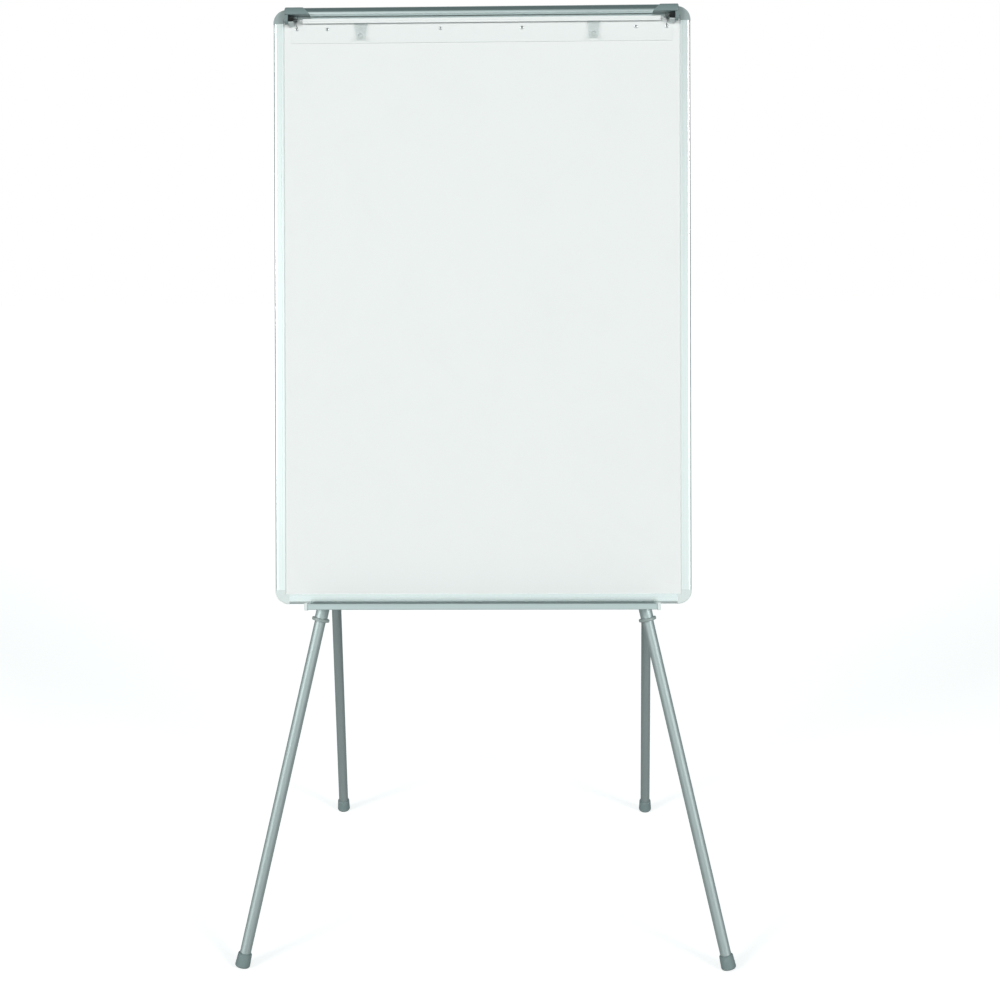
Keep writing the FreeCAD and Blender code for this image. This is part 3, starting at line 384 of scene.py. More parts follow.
@dataclass(frozen=True)
class Finish:
    """A surface finish: the part every material has."""

    name: str
    colour: Colour
    roughness: float = 0.4
    metallic: float = 0.0
    specular: float = 0.5
    coat: float = 0.0

    def material(self) -> Material:
        """Build the material, unless it was built before.

        Returns:
            The material.
        """
        label = f"finish_{self.name}"
        known = bpy.data.materials.get(label)
        if known:
            return known
        material = bpy.data.materials.new(label)
        material.use_nodes = True
        shader = material.node_tree.nodes["Principled BSDF"]
        settings = {"Base Color": (*self.colour, 1.0), "Metallic": self.metallic, "Roughness": self.roughness,
                    "Specular IOR Level": self.specular, "Coat Weight": self.coat}
        for name, value in settings.items():
            shader.inputs[name].default_value = value
        self.detail(Sheet(material.node_tree), shader.inputs)
        material.diffuse_color = (*self.colour, 1.0)
        return material

    def detail(self, sheet: Sheet, surface: Sockets) -> None:
        """Link the finish's own texture to the surface's inputs; each kind of finish has its own."""

    @staticmethod
    def coordinates(sheet: Sheet, along: Direction = tuple(UP)) -> NodeSocket:
        """Object coordinates, turned so that Z runs along a direction.

        Args:
            sheet: Where the nodes go.
            along: The direction that becomes Z.

        Returns:
            The coordinates' socket.
        """
        place = sheet.add("ShaderNodeTexCoord").outputs["Object"]
        turn = Vector(along).rotation_difference(UP).to_euler()
        turned = sheet.add("ShaderNodeMapping", vector_type="POINT", in_Vector=place, in_Rotation=turn)
        return turned.outputs[0]

    @staticmethod
    def effect(sheet: Sheet, effect: Effect, vector: NodeSocket,
               **values: float) -> Sockets:
        """Place a shared effect with its own values.

        Args:
            sheet: Where the node goes.
            effect: Which effect.
            vector: The coordinates it reads.
            values: Its inputs by name.

        Returns:
            The effect's results by name.
        """
        node = sheet.add("ShaderNodeGroup", node_tree=EFFECTS.group(effect))
        for name, value in {"Vector": vector, **values}.items():
            sheet.put(value, node.inputs[name])
        return node.outputs


@dataclass(frozen=True)
class DrawnMetal(Finish):
    """Anodised or polished aluminium, with die lines along the piece."""

    along: Direction = (0.0, 0.0, 1.0)
    line_scale: float = 700.0
    line_depth: float = 0.000006
    contrast: float = 0.12
    marks: float = 0.35

    def detail(self, sheet: Sheet, surface: Sockets) -> None:
        """Vary colour and gloss along the die lines, with faint finger marks and dust.

        Args:
            sheet: Where the nodes go.
            surface: The surface's inputs.
        """
        vector = self.coordinates(sheet, self.along)
        drawn = self.effect(sheet, Effect.DRAWN_LINES, vector, Scale=self.line_scale, Depth=self.line_depth)
        smears = self.effect(sheet, Effect.HANDLING_MARKS, vector, Size=14.0, Amount=self.marks)["Mask"]
        dust = self.effect(sheet, Effect.SETTLED_DUST, vector, Amount=0.12)["Mask"]
        dark, light = scaled(self.colour, 1.0 - self.contrast), scaled(self.colour, 1.0 + self.contrast * 0.5)
        metal = sheet.blend(drawn["Lines"], dark, light)
        sheet.put(sheet.blend(dust, metal, DUST_ON_METAL), surface["Base Color"])
        gloss = sheet.ramp(drawn["Lines"], 0.0, 1.0, self.roughness - self.contrast * 0.4,
                           self.roughness + self.contrast * 0.5)
        dulled = sheet.math("ADD", gloss, sheet.math("MULTIPLY", smears, 0.16))
        dusty = sheet.math("ADD", dulled, sheet.math("MULTIPLY", dust, 0.4), clamp=True)
        sheet.put(dusty, surface["Roughness"])
        sheet.put(drawn["Normal"], surface["Normal"])


@dataclass(frozen=True)
class MouldedPlastic(Finish):
    """Injection-moulded plastic with an eroded grain."""

    grain: float = 1100.0
    grain_depth: float = 0.00003

    def detail(self, sheet: Sheet, surface: Sockets) -> None:
        """Grain, a slight mottle in the colour, and rubbed patches.

        Args:
            sheet: Where the nodes go.
            surface: The surface's inputs.
        """
        vector = self.coordinates(sheet)
        grain = self.effect(sheet, Effect.MOULDED_GRAIN, vector, Scale=self.grain, Depth=self.grain_depth)
        rubbed = self.effect(sheet, Effect.HANDLING_MARKS, vector, Size=30.0, Amount=0.6)["Mask"]
        dust = self.effect(sheet, Effect.SETTLED_DUST, vector, Amount=0.1)["Mask"]
        mottled = sheet.blend(grain["Mask"], scaled(self.colour, 0.9), self.colour)
        sheet.put(sheet.blend(dust, mottled, DUST_ON_PLASTIC), surface["Base Color"])
        gloss = sheet.ramp(grain["Mask"], 0.0, 1.0, self.roughness + 0.08, self.roughness - 0.03)
        polished = sheet.math("SUBTRACT", gloss, sheet.math("MULTIPLY", rubbed, 0.12), clamp=True)
        sheet.put(polished, surface["Roughness"])
        sheet.put(grain["Normal"], surface["Normal"])


@dataclass(frozen=True)
class StovedPaint(Finish):
    """Enamel or powder paint on sheet steel."""

    ripple: float = 260.0
    ripple_depth: float = 0.00001
    ghosting: float = 0.0

    def detail(self, sheet: Sheet, surface: Sockets) -> None:
        """Orange peel, wiped streaks in the gloss and faint ghosting of old ink.

        Args:
            sheet: Where the nodes go.
            surface: The surface's inputs.
        """
        vector = self.coordinates(sheet)
        peel = self.effect(sheet, Effect.ORANGE_PEEL, vector, Scale=self.ripple, Depth=self.ripple_depth)
        wiped = self.effect(sheet, Effect.HANDLING_MARKS, vector, Size=2.6, Amount=0.8)["Mask"]
        ghost = self.effect(sheet, Effect.HANDLING_MARKS, vector, Size=7.0, Amount=self.ghosting)["Mask"]
        sheet.put(sheet.blend(ghost, self.colour, scaled(self.colour, 0.93)), surface["Base Color"])
        gloss = sheet.math("ADD", sheet.math("MULTIPLY", wiped, 0.12), self.roughness)
        sheet.put(gloss, surface["Roughness"])
        sheet.put(peel["Normal"], surface["Normal"])


@dataclass(frozen=True)
class Rubber(Finish):
    """Matt rubber with a fine bloom and scuffed lower edges."""

    scuff_below: float = -1.0

    def detail(self, sheet: Sheet, surface: Sockets) -> None:
        """Grain, bloom, and a paler scuffed band near the floor.

        Args:
            sheet: Where the nodes go.
            surface: The surface's inputs.
        """
        vector = self.coordinates(sheet)
        grain = self.effect(sheet, Effect.MOULDED_GRAIN, vector, Scale=1500.0, Depth=0.00005)
        bloom = self.effect(sheet, Effect.HANDLING_MARKS, vector, Size=40.0, Amount=0.7)["Mask"]
        base = sheet.blend(bloom, self.colour, scaled(self.colour, 1.25, 0.02))
        if self.scuff_below > 0:
            low = sheet.ramp(sheet.split(vector)["Z"], 0.0, self.scuff_below, 1.0, 0.0)
            patchy = sheet.math("MULTIPLY", low, sheet.ramp(grain["Mask"], 0.2, 0.9))
            base = sheet.blend(sheet.math("MULTIPLY", patchy, 0.5), base, SCUFF)
        sheet.put(base, surface["Base Color"])
        gloss = sheet.ramp(grain["Mask"], 0.0, 1.0, self.roughness + 0.1, self.roughness - 0.05)
        sheet.put(gloss, surface["Roughness"])
        sheet.put(grain["Normal"], surface["Normal"])


@dataclass(frozen=True)
class ClearPlastic(Finish):
    """Slightly cloudy clear plastic with flow lines."""

    body: float = 0.12
    cloudiness: float = 0.1
    rim: float = 0.45

    def detail(self, sheet: Sheet, surface: Sockets) -> None:
        """See-through body that thickens at the rim, with a soft ripple and cloudy patches.

        Args:
            sheet: Where the nodes go.
            surface: The surface's inputs.
        """
        surface["IOR"].default_value = 1.49
        vector = self.coordinates(sheet, UP_BOARD)
        peel = self.effect(sheet, Effect.ORANGE_PEEL, vector, Scale=120.0, Depth=0.00004)
        haze = self.effect(sheet, Effect.HANDLING_MARKS, vector, Size=60.0, Amount=1.0)["Mask"]
        gloss = sheet.math("ADD", sheet.math("MULTIPLY", haze, 0.2), self.roughness)
        sheet.put(gloss, surface["Roughness"])
        edge = sheet.add("ShaderNodeLayerWeight", in_Blend=0.35).outputs["Facing"]
        cloud = sheet.ramp(haze, 0.0, 1.0, self.body, self.body + self.cloudiness)
        sheet.put(sheet.math("ADD", cloud, sheet.math("MULTIPLY", edge, self.rim)), surface["Alpha"])
        sheet.put(peel["Normal"], surface["Normal"])


@dataclass(frozen=True)
class CoreCard(Finish):
    """Paper honeycomb seen at the board's hidden edges."""

    def detail(self, sheet: Sheet, surface: Sockets) -> None:
        """Brown cells painted darker in their middles, a painted shade for the open cells' depth, with paler
        walls.

        Args:
            sheet: Where the nodes go.
            surface: The surface's inputs.
        """
        cells = sheet.add("ShaderNodeTexVoronoi", feature="DISTANCE_TO_EDGE", in_Scale=120.0,
                          in_Vector=self.coordinates(sheet)).outputs["Distance"]
        wall = sheet.ramp(cells, 0.02, 0.08, 1.0, 0.0)
        # Cell middles take the darker colour: painted shade inside the open cells.
        sheet.put(sheet.blend(wall, scaled(self.colour, 0.7), self.colour), surface["Base Color"])
        sheet.put(sheet.bump(wall, 0.0003), surface["Normal"])


def leg_direction(joint_name: str) -> Direction:
    """The direction of a leg's slide, read from the record's joint."""
    return tuple(next(joint for joint in frame["joints"] if joint["name"] == joint_name)["axis"])


class Finishes:
    """Every finish of the easel, by what it is on."""

    enamel = StovedPaint("white_enamel", (0.815, 0.822, 0.812), roughness=0.28, specular=0.35, coat=0.08,
                         ghosting=0.3)
    plate = StovedPaint("white_powder_coat", (0.785, 0.80, 0.79), roughness=0.38, ripple=600.0,
                        ripple_depth=0.00003)
    clevis = StovedPaint("grey_powder_coat", (0.30, 0.33, 0.33), roughness=0.45, ripple=900.0,
                         ripple_depth=0.00004)
    core = CoreCard("honeycomb_core", (0.46, 0.36, 0.25), roughness=0.9)
    backing = DrawnMetal("backing_sheet_metal", (0.66, 0.69, 0.685), roughness=0.42, metallic=0.7,
                         along=UP_BOARD, line_scale=380.0)
    rail_upright = DrawnMetal("rail_anodised_upright", (0.82, 0.88, 0.87), roughness=0.34, metallic=0.85,
                              along=UP_BOARD, contrast=0.06, line_depth=0.000001, marks=0.15)
    rail_across = DrawnMetal("rail_anodised_across", (0.80, 0.87, 0.86), roughness=0.25, metallic=0.85,
                             along=ACROSS, contrast=0.05, line_depth=0.000001, marks=0.12)
    clamp = DrawnMetal("clamp_bright_anodised", (0.86, 0.94, 0.94), roughness=0.18, metallic=1.0,
                       along=ACROSS, contrast=0.02, line_depth=0.0000001, marks=0.05)
    tray = DrawnMetal("tray_anodised", (0.53, 0.615, 0.61), roughness=0.3, metallic=0.9, along=ACROSS)
    cross = DrawnMetal("cross_rail_mill_finish", (0.55, 0.57, 0.57), roughness=0.4, metallic=0.9,
                       along=ACROSS)
    # The corner mouldings are one grey plastic: the top pair is a darker painted-shade copy, the bottom pair a
    # lighter painted-light copy.
    corner_top = MouldedPlastic("corner_moulding_top_painted_shade", (0.335, 0.40, 0.395), roughness=0.42)
    corner_bottom = MouldedPlastic("corner_moulding_bottom_painted_light", (0.72, 0.78, 0.76), roughness=0.42)
    cap = MouldedPlastic("clamp_cap_moulding", (0.19, 0.255, 0.255), roughness=0.33)
    pale_cap = MouldedPlastic("tray_cap_moulding", (0.76, 0.82, 0.81), roughness=0.4)
    pale_foot = MouldedPlastic("clamp_foot_moulding", (0.64, 0.70, 0.69), roughness=0.4)
    black = MouldedPlastic("black_moulding", (0.008, 0.010, 0.010), roughness=0.5, specular=0.2)
    bracket = MouldedPlastic("dark_bracket_moulding", (0.07, 0.08, 0.085), roughness=0.45, grain=800.0)
    guide = MouldedPlastic("guide_bush_moulding", (0.02, 0.02, 0.022), roughness=0.3)
    collar = MouldedPlastic("collar_moulding", (0.34, 0.40, 0.39), roughness=0.28, grain_depth=0.00001)
    grip = Rubber("grip_rubber", (0.02, 0.022, 0.022), roughness=0.7)
    foot = Rubber("foot_rubber_grey", (0.18, 0.235, 0.235), roughness=0.62, scuff_below=0.01)
    clear = ClearPlastic("hook_clear_plastic", (0.54, 0.62, 0.61), roughness=0.12)
    steel = DrawnMetal("zinc_plated_steel", (0.50, 0.52, 0.53), roughness=0.3, metallic=1.0, line_scale=900.0)
    screw = DrawnMetal("bright_zinc_screw", (0.78, 0.80, 0.80), roughness=0.3, metallic=0.7, line_scale=900.0)
    recess = MouldedPlastic("screw_recess_shadow", (0.03, 0.035, 0.035), roughness=0.6)
    wire = DrawnMetal("spring_wire", (0.16, 0.18, 0.18), roughness=0.32, metallic=0.9, line_scale=900.0)

    @staticmethod
    def tube(label: str, joint_name: str, shade: float) -> DrawnMetal:
        """The polished tube of one leg, with its die lines along that leg.

        Args:
            label: The material's name.
            joint_name: The slide whose direction the tube follows.
            shade: How light the metal is painted; for the rear legs this darkening is painted shade.

        Returns:
            The finish.
        """
        colour = (shade * 0.73, shade * 0.85, shade * 0.84)
        return DrawnMetal(label, colour, roughness=0.5, metallic=0.75, along=leg_direction(joint_name),
                          line_scale=500.0, contrast=0.08)


# ---- shared making

def both(stem: str) -> tuple[str, str]:
    """The names of a left and right pair."""
    return f"{stem}_left", f"{stem}_right"


def dress(finish: Finish, *nodes: str) -> None:
    """Give frame nodes a finish.

    Args:
        finish: The finish they get.
        nodes: The nodes' names.
    """
    material = finish.material()
    for node in nodes:
        piece = frame["nodes"][node]
        if not piece.material_slots:
            piece.data.materials.append(material)
        for place in piece.material_slots:
            place.material = material
        LOG.info("%s: %s", node, finish.name)


def new_piece(name: str, mesh: Mesh, body: str, slot: str, *replaced: str) -> None:
    """Put a finished mesh into the scene as a piece that rides on a body.

    Args:
        name: The piece's name.
        mesh: Its mesh, in the easel's axes.
        body: The body it moves with.
        slot: The record's material slot; not used.
        replaced: The frame nodes it stands for.
    """
    piece = bpy.data.objects.new(name, mesh)
    bpy.context.scene.collection.objects.link(piece)
    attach(piece, body)
    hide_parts(*replaced)
    LOG.info("%s: %d faces on %s", name, len(mesh.polygons), body)


class GeometryTree:
    """A Geometry Nodes tree with named inputs, run on a helper object."""

    def __init__(self, name: str, **sizes: float | int | Material) -> None:
        """Make a tree with a geometry input and output and the named inputs.

        Args:
            name: The tree's name.
            sizes: Each input's value.
        """
        self.tree = bpy.data.node_groups.new(name, "GeometryNodeTree")
        self.sizes = sizes
        kinds = {float: "NodeSocketFloat", int: "NodeSocketInt", Material: "NodeSocketMaterial"}
        for way in ("INPUT", "OUTPUT"):
            self.tree.interface.new_socket(name="Geometry", in_out=way, socket_type="NodeSocketGeometry")
        for label, value in sizes.items():
            self.tree.interface.new_socket(name=label, in_out="INPUT", socket_type=kinds[type(value)])
        self.sheet = Sheet(self.tree)
        self.given = self.sheet.add("NodeGroupInput").outputs

    def times(self, name: str, factor: float) -> NodeSocket:
        """A named input multiplied by a factor."""
        return self.sheet.math("MULTIPLY", self.given[name], factor)

    def move(self, geometry: NodeSocket, up: NodeSocket) -> NodeSocket:
        """Geometry moved along Z."""
        shift = self.sheet.add("ShaderNodeCombineXYZ", in_Z=up).outputs[0]
        return self.sheet.add("GeometryNodeTransform", in_Geometry=geometry, in_Translation=shift).outputs[0]

    def finish(self, geometry: NodeSocket, marked: str = "") -> None:
        """End the tree in Realize Instances and Set Material.

        Args:
            geometry: What the tree has made.
            marked: The material input for the faces marked by the attribute of the same name, if any.
        """
        sheet = self.sheet
        solid = sheet.add("GeometryNodeRealizeInstances", in_0=geometry).outputs[0]
        painted = sheet.add("GeometryNodeSetMaterial", in_Geometry=solid,
                            in_Material=self.given["Material"]).outputs[0]
        if marked:
            mark = sheet.add("GeometryNodeInputNamedAttribute", data_type="FLOAT", in_Name=marked.lower())
            painted = sheet.add("GeometryNodeSetMaterial", in_Geometry=painted,
                                in_Selection=sheet.math("GREATER_THAN", mark.outputs[0], 0.5),
                                in_Material=self.given[marked]).outputs[0]
        sheet.put(painted, sheet.add("NodeGroupOutput").inputs[0])

    def run(self, mesh: Mesh) -> Mesh:
        """Run the tree on a mesh.

        Args:
            mesh: The points or faces that the tree starts from.

        Returns:
            The plain mesh it makes.
        """
        holder = bpy.data.objects.new(f"{self.tree.name}_maker", mesh)
        bpy.context.scene.collection.objects.link(holder)
        modifier = holder.modifiers.new(self.tree.name, "NODES")
        modifier.node_group = self.tree
        for item in self.tree.interface.items_tree:
            if item.in_out == "INPUT" and item.name in self.sizes:
                modifier[item.identifier] = self.sizes[item.name]
        bpy.context.view_layer.update()
        graph = bpy.context.evaluated_depsgraph_get()
        made = bpy.data.meshes.new_from_object(holder.evaluated_get(graph), depsgraph=graph)
        holder.modifiers.clear()
        bpy.data.objects.remove(holder, do_unlink=True)
        return made


# ---- sub-assemblies

@dataclass
class BoardPanel:
    """The framed writing board."""

    def build(self) -> None:
        """Dress the panel's layers, the rails and the corners."""
        dress(Finishes.enamel, "writing_surface")
        dress(Finishes.core, "board_core")
        dress(Finishes.backing, "backing_sheet")
        dress(Finishes.rail_upright, *both("frame_rail"))
        dress(Finishes.rail_across, "frame_rail_top", "frame_rail_bottom")
        # Top corners get the painted-shade copy of the corner plastic, bottom corners the painted-light copy.
        dress(Finishes.corner_top, *both("frame_corner_top"))
        dress(Finishes.corner_bottom, *both("frame_corner_bottom"))


@dataclass
class Fasteners:
    """All the pan-head screws, made from one Geometry Nodes tree."""

    head_radius: float = 3.1 * MM
    rise: float = 1.7 * MM
    shank_radius: float = 1.6 * MM
    shank_length: float = 7.5 * MM
    slot_width: float = 1.0 * MM
    slot_length: float = 3.9 * MM
    slot_depth: float = 1.3 * MM
    crown_share: float = 1.2
    tail_share: float = 2.5
    seed: int = 4

    def build(self) -> None:
        """Set screws where the frame's own screws are."""
        for node in ("hook_plate_screws", "frame_screws"):
            maker = GeometryTree(
                "pan_head_screws", HeadRadius=self.head_radius, Rise=self.rise, ShankRadius=self.shank_radius,
                ShankLength=self.shank_length, SlotWidth=self.slot_width, SlotLength=self.slot_length,
                SlotDepth=self.slot_depth, Seed=self.seed, Material=Finishes.screw.material(),
                Recess=Finishes.recess.material(),
            )
            join = maker.sheet.add("GeometryNodeJoinGeometry", in_0=self.head(maker))
            maker.sheet.put(self.shank(maker), join.inputs[0])
            maker.finish(self.spread(maker, join.outputs[0]), "Recess")
            mesh = maker.run(self.seats_mesh(node))
            new_piece(f"{node}_detailed", mesh, "frame", "steel", node)

    def head(self, maker: GeometryTree) -> NodeSocket:
        """A flattened dome, cut off below and cut into by a cross whose faces are marked to take the near-black
        recess material, a painted shadow.

        Args:
            maker: The tree it is made in.

        Returns:
            The head.
        """
        sheet, given = maker.sheet, maker.given
        ball = sheet.add("GeometryNodeMeshUVSphere", in_Segments=28, in_Rings=16,
                         in_Radius=given["HeadRadius"]).outputs["Mesh"]
        flatness = sheet.math("DIVIDE", given["Rise"], given["HeadRadius"])
        squash = sheet.add("ShaderNodeCombineXYZ", in_X=1.0, in_Y=1.0, in_Z=flatness).outputs[0]
        dome = sheet.add("GeometryNodeTransform", in_Geometry=ball, in_Scale=squash).outputs[0]
        cut = sheet.add("GeometryNodeMeshBoolean", operation="DIFFERENCE", solver="EXACT")
        sheet.put(dome, cut.inputs["Mesh 1"])
        wide, deep = maker.times("HeadRadius", 4.0), maker.times("HeadRadius", 2.0)
        length, width, depth = given["SlotLength"], given["SlotWidth"], maker.times("SlotDepth", 2.0)
        cutters = (
            maker.move(self.block(sheet, wide, wide, deep), maker.times("HeadRadius", -1.0)),
            maker.move(self.block(sheet, length, width, depth), given["Rise"]),
            maker.move(self.block(sheet, width, length, depth), given["Rise"]),
        )
        for cutter in cutters:
            sheet.put(cutter, cut.inputs["Mesh 2"])
        place = sheet.split(sheet.add("GeometryNodeInputPosition").outputs[0])
        across, along = sheet.math("ABSOLUTE", place["X"]), sheet.math("ABSOLUTE", place["Y"])
        half_width, half_length = maker.times("SlotWidth", 0.52), maker.times("SlotLength", 0.51)
        arms = [sheet.math("MULTIPLY", sheet.math("LESS_THAN", first, half_width),
                           sheet.math("LESS_THAN", second, half_length))
                for first, second in ((across, along), (along, across))]
        above = sheet.math("GREATER_THAN", place["Z"], 0.0)
        inside = sheet.math("MULTIPLY", sheet.math("MAXIMUM", *arms), above)
        return sheet.add("GeometryNodeStoreNamedAttribute", data_type="FLOAT", domain="FACE",
                         in_Name="recess", in_Geometry=cut.outputs["Mesh"], in_Value=inside).outputs[0]

    @staticmethod
    def block(sheet: Sheet, wide: NodeSocket, deep: NodeSocket, high: NodeSocket) -> NodeSocket:
        """A box to cut with."""
        size = sheet.add("ShaderNodeCombineXYZ", in_X=wide, in_Y=deep, in_Z=high).outputs[0]
        return sheet.add("GeometryNodeMeshCube", in_Size=size).outputs["Mesh"]

    @staticmethod
    def shank(maker: GeometryTree) -> NodeSocket:
        """The plain shank below the head."""
        rod = maker.sheet.add("GeometryNodeMeshCylinder", in_Vertices=20,
                              in_Radius=maker.given["ShankRadius"], in_Depth=maker.given["ShankLength"])
        return maker.move(rod.outputs["Mesh"], maker.times("ShankLength", -0.5))

    @staticmethod
    def spread(maker: GeometryTree, screw: NodeSocket) -> NodeSocket:
        """Set the screw on every point, facing as the point does and turned at random.

        Args:
            maker: The tree it is made in.
            screw: The finished screw.

        Returns:
            The screws.
        """
        sheet = maker.sheet
        facing = sheet.add("GeometryNodeInputNamedAttribute", data_type="FLOAT_VECTOR",
                           in_Name="facing").outputs["Attribute"]
        align = sheet.add("FunctionNodeAlignRotationToVector", axis="Z", in_Vector=facing)
        spin = sheet.add("FunctionNodeRandomValue", data_type="FLOAT", in_Max=math.pi,
                         in_Seed=maker.given["Seed"]).outputs[1]
        twist = sheet.add("FunctionNodeAxisAngleToRotation", in_Axis=(0.0, 0.0, 1.0), in_Angle=spin)
        turn = sheet.add("FunctionNodeRotateRotation", rotation_space="LOCAL", in_0=align.outputs[0],
                         in_1=twist.outputs[0])
        return sheet.add("GeometryNodeInstanceOnPoints", in_Points=maker.given["Geometry"], in_Instance=screw,
                         in_Rotation=turn.outputs[0]).outputs[0]

    def seats_mesh(self, node: str) -> Mesh:
        """Find each screw's seat and direction from the node's separate solids.

        Args:
            node: The node of separate screws.

        Returns:
            Loose points on the seats, that each know which way the head faces.
        """
        work = bmesh.new()
        work.from_mesh(frame["nodes"][node].data)
        bmesh.ops.remove_doubles(work, verts=work.verts, dist=1e-6)
        work.verts.index_update()
        seen: set[int] = set()
        seats = [self.seat_of([vertex.co.copy() for vertex in self.island(start, seen)])
                 for start in work.verts if start.index not in seen]
        work.free()
        mesh = bpy.data.meshes.new(f"{node}_points")
        mesh.from_pydata([tuple(seat) for _, seat in seats], [], [])
        attribute = mesh.attributes.new("facing", "FLOAT_VECTOR", "POINT")
        for index, (axis, _) in enumerate(seats):
            attribute.data[index].vector = axis
        return mesh

    @staticmethod
    def island(start: bmesh.types.BMVert, seen: set[int]) -> list[bmesh.types.BMVert]:
        """Every vertex joined to the first one.

        Args:
            start: The first vertex.
            seen: The numbers of the vertices found so far, which it adds to.

        Returns:
            The vertices.
        """
        found, queue = [], [start]
        seen.add(start.index)
        while queue:
            vertex = queue.pop()
            found.append(vertex)
            for edge in vertex.link_edges:
                other = edge.other_vert(vertex)
                if other.index not in seen:
                    seen.add(other.index)
                    queue.append(other)
        return found

    def seat_of(self, points: list[Vector]) -> tuple[Vector, Vector]:
        """A screw's axis and the middle of its head's underside, from its corners.

        Args:
            points: The screw's corners.

        Returns:
            The direction its head faces and the seat.
        """
        choices: list[tuple[float, Vector, Vector]] = []
        for axis in (BOARD.outward, -BOARD.outward, -BOARD.up_board):
            top = max(point.dot(axis) for point in points)
            crown = [point for point in points if point.dot(axis) > top - self.rise * self.crown_share]
            tail = [point for point in points if point.dot(axis) < top - self.rise * self.tail_share]
            if not tail:
                continue
            middle = sum(crown, Vector()) / len(crown)
            offset = sum(tail, Vector()) / len(tail) - middle
            sideways = (offset - axis * offset.dot(axis)).length
            spread = max((point - middle - axis * (point - middle).dot(axis)).length for point in tail)
            seat = middle + axis * (top - self.rise - middle.dot(axis))
            choices.append((sideways + abs(spread - self.shank_radius), axis, seat))
        _, axis, seat = min(choices, key=lambda choice: choice[0])
        return axis, seat


@dataclass
class PadHook:
    """A clear tab on the channel, with a peg for the pad's punched hole."""

    side: str

    def build(self) -> None:
        """Dress the clear hook."""
        dress(Finishes.clear, f"pad_hook_{self.side}")


@dataclass
class PaperClamp:
    """The clamp bar with its caps, knuckles, pins and springs; the coil's sizes are in millimetres."""

    wire_radius: float = 0.42 * MM
    wire_sides: int = 10
    coil_radius: float = 2.4
    coil_pitch: float = 1.0
    coil_turns: float = 5.25
    coil_steps: int = 28
    pivot_depth: float = -7.0
    pivot_up: float = 979.0
    coil_start: float = 313.2
    foot_end: tuple[float, float, float] = (309.6, 0.3, 969.5)
    bar_end: tuple[float, float, float] = (307.6, -10.0, 986.7)

    def build(self) -> None:
        """Dress the moulded and extruded pieces and wind the springs."""
        dress(Finishes.clamp, "clamp_bar")
        dress(Finishes.grip, "clamp_grip_strip")
        dress(Finishes.steel, "clamp_pivot_pins")
        dress(Finishes.plate, "hook_plate")
        dress(Finishes.cap, *both("clamp_end_cap"))
        dress(Finishes.black, *both("clamp_knuckle"))
        dress(Finishes.pale_foot, *both("clamp_foot"))
        maker = GeometryTree("torsion_springs", WireRadius=self.wire_radius, WireSides=self.wire_sides,
                             Material=Finishes.wire.material())
        self.sweep(maker)
        new_piece("clamp_springs_wound", maker.run(self.wire_paths()), "frame", "steel", "clamp_springs")

    @staticmethod
    def sweep(maker: GeometryTree) -> None:
        """Sweep a round wire along each path.

        Args:
            maker: The tree it is made in.
        """
        sheet, given = maker.sheet, maker.given
        path = sheet.add("GeometryNodeMeshToCurve", in_Mesh=given["Geometry"]).outputs[0]
        ring = sheet.add("GeometryNodeCurvePrimitiveCircle", in_Resolution=given["WireSides"])
        sheet.put(given["WireRadius"], ring.inputs["Radius"])
        wire = sheet.add("GeometryNodeCurveToMesh", in_Curve=path, in_Profile_Curve=ring.outputs[0],
                         in_Fill_Caps=True).outputs[0]
        maker.finish(sheet.add("GeometryNodeSetShadeSmooth", in_Geometry=wire).outputs[0])

    def wire_paths(self) -> Mesh:
        """The middle lines of both springs: a leg on the plate, the coil, a leg under the bar.

        Returns:
            A mesh of two open chains.
        """
        chain = [self.foot_end]
        for step in range(round(self.coil_turns * self.coil_steps) + 1):
            angle = step * 2 * math.pi / self.coil_steps
            chain.append((self.coil_start - self.coil_pitch * step / self.coil_steps,
                          self.pivot_depth + self.coil_radius * math.cos(angle),
                          self.pivot_up + self.coil_radius * math.sin(angle)))
        chain.append(self.bar_end)
        corners = [tuple(BOARD.place(side * across, depth, up))
                   for side in SIDES.values() for across, depth, up in chain]
        links = [(index, index + 1) for index in range(len(corners) - 1) if index + 1 != len(chain)]
        mesh = bpy.data.meshes.new("spring_paths")
        mesh.from_pydata(corners, links, [])
        return mesh


@dataclass
class PenTray:
    """The trough under the board."""

    def build(self) -> None:
        """Dress the folded trough and its end caps."""
        dress(Finishes.tray, "pen_tray")
        dress(Finishes.pale_cap, *both("tray_end_cap"))


@dataclass
class BackFrame:
    """What carries the legs behind the board."""

    def build(self) -> None:
        """Dress the cross rails, the apex bracket, the saddles and the rear hinges."""
        dress(Finishes.cross, "upper_cross_rail", "lower_cross_rail")
        dress(Finishes.bracket, "apex_bracket", *both("leg_saddle"), *both("rear_hinge_eye"))
        dress(Finishes.clevis, *both("rear_hinge_bracket"))
        dress(Finishes.steel, "rear_hinge_pins")


@dataclass
class TelescopicLeg:
    """A leg of two polished tubes, with the lightness each is painted; the rear legs' lower values are painted
    shade from standing behind the board.
    """

    row: str
    side: str
    outer_tone_and_painted_shade: float
    inner_tone_and_painted_shade: float

    def build(self) -> None:
        """Dress the tubes, collar, bush and foot."""
        slide = f"{self.row}_leg_slide_{self.side}"
        for tube, shade in (("outer", self.outer_tone_and_painted_shade), ("inner", self.inner_tone_and_painted_shade)):
            label = f"{self.row}_{tube}_tube"
            dress(Finishes.tube(f"{label}_metal_{self.side}", slide, shade), f"{label}_{self.side}")
        parts = {"collar": Finishes.collar, "guide_bush": Finishes.guide, "foot": Finishes.foot}
        for part, finish in parts.items():
            dress(finish, f"{self.row}_{part}_{self.side}")


# ---- studio

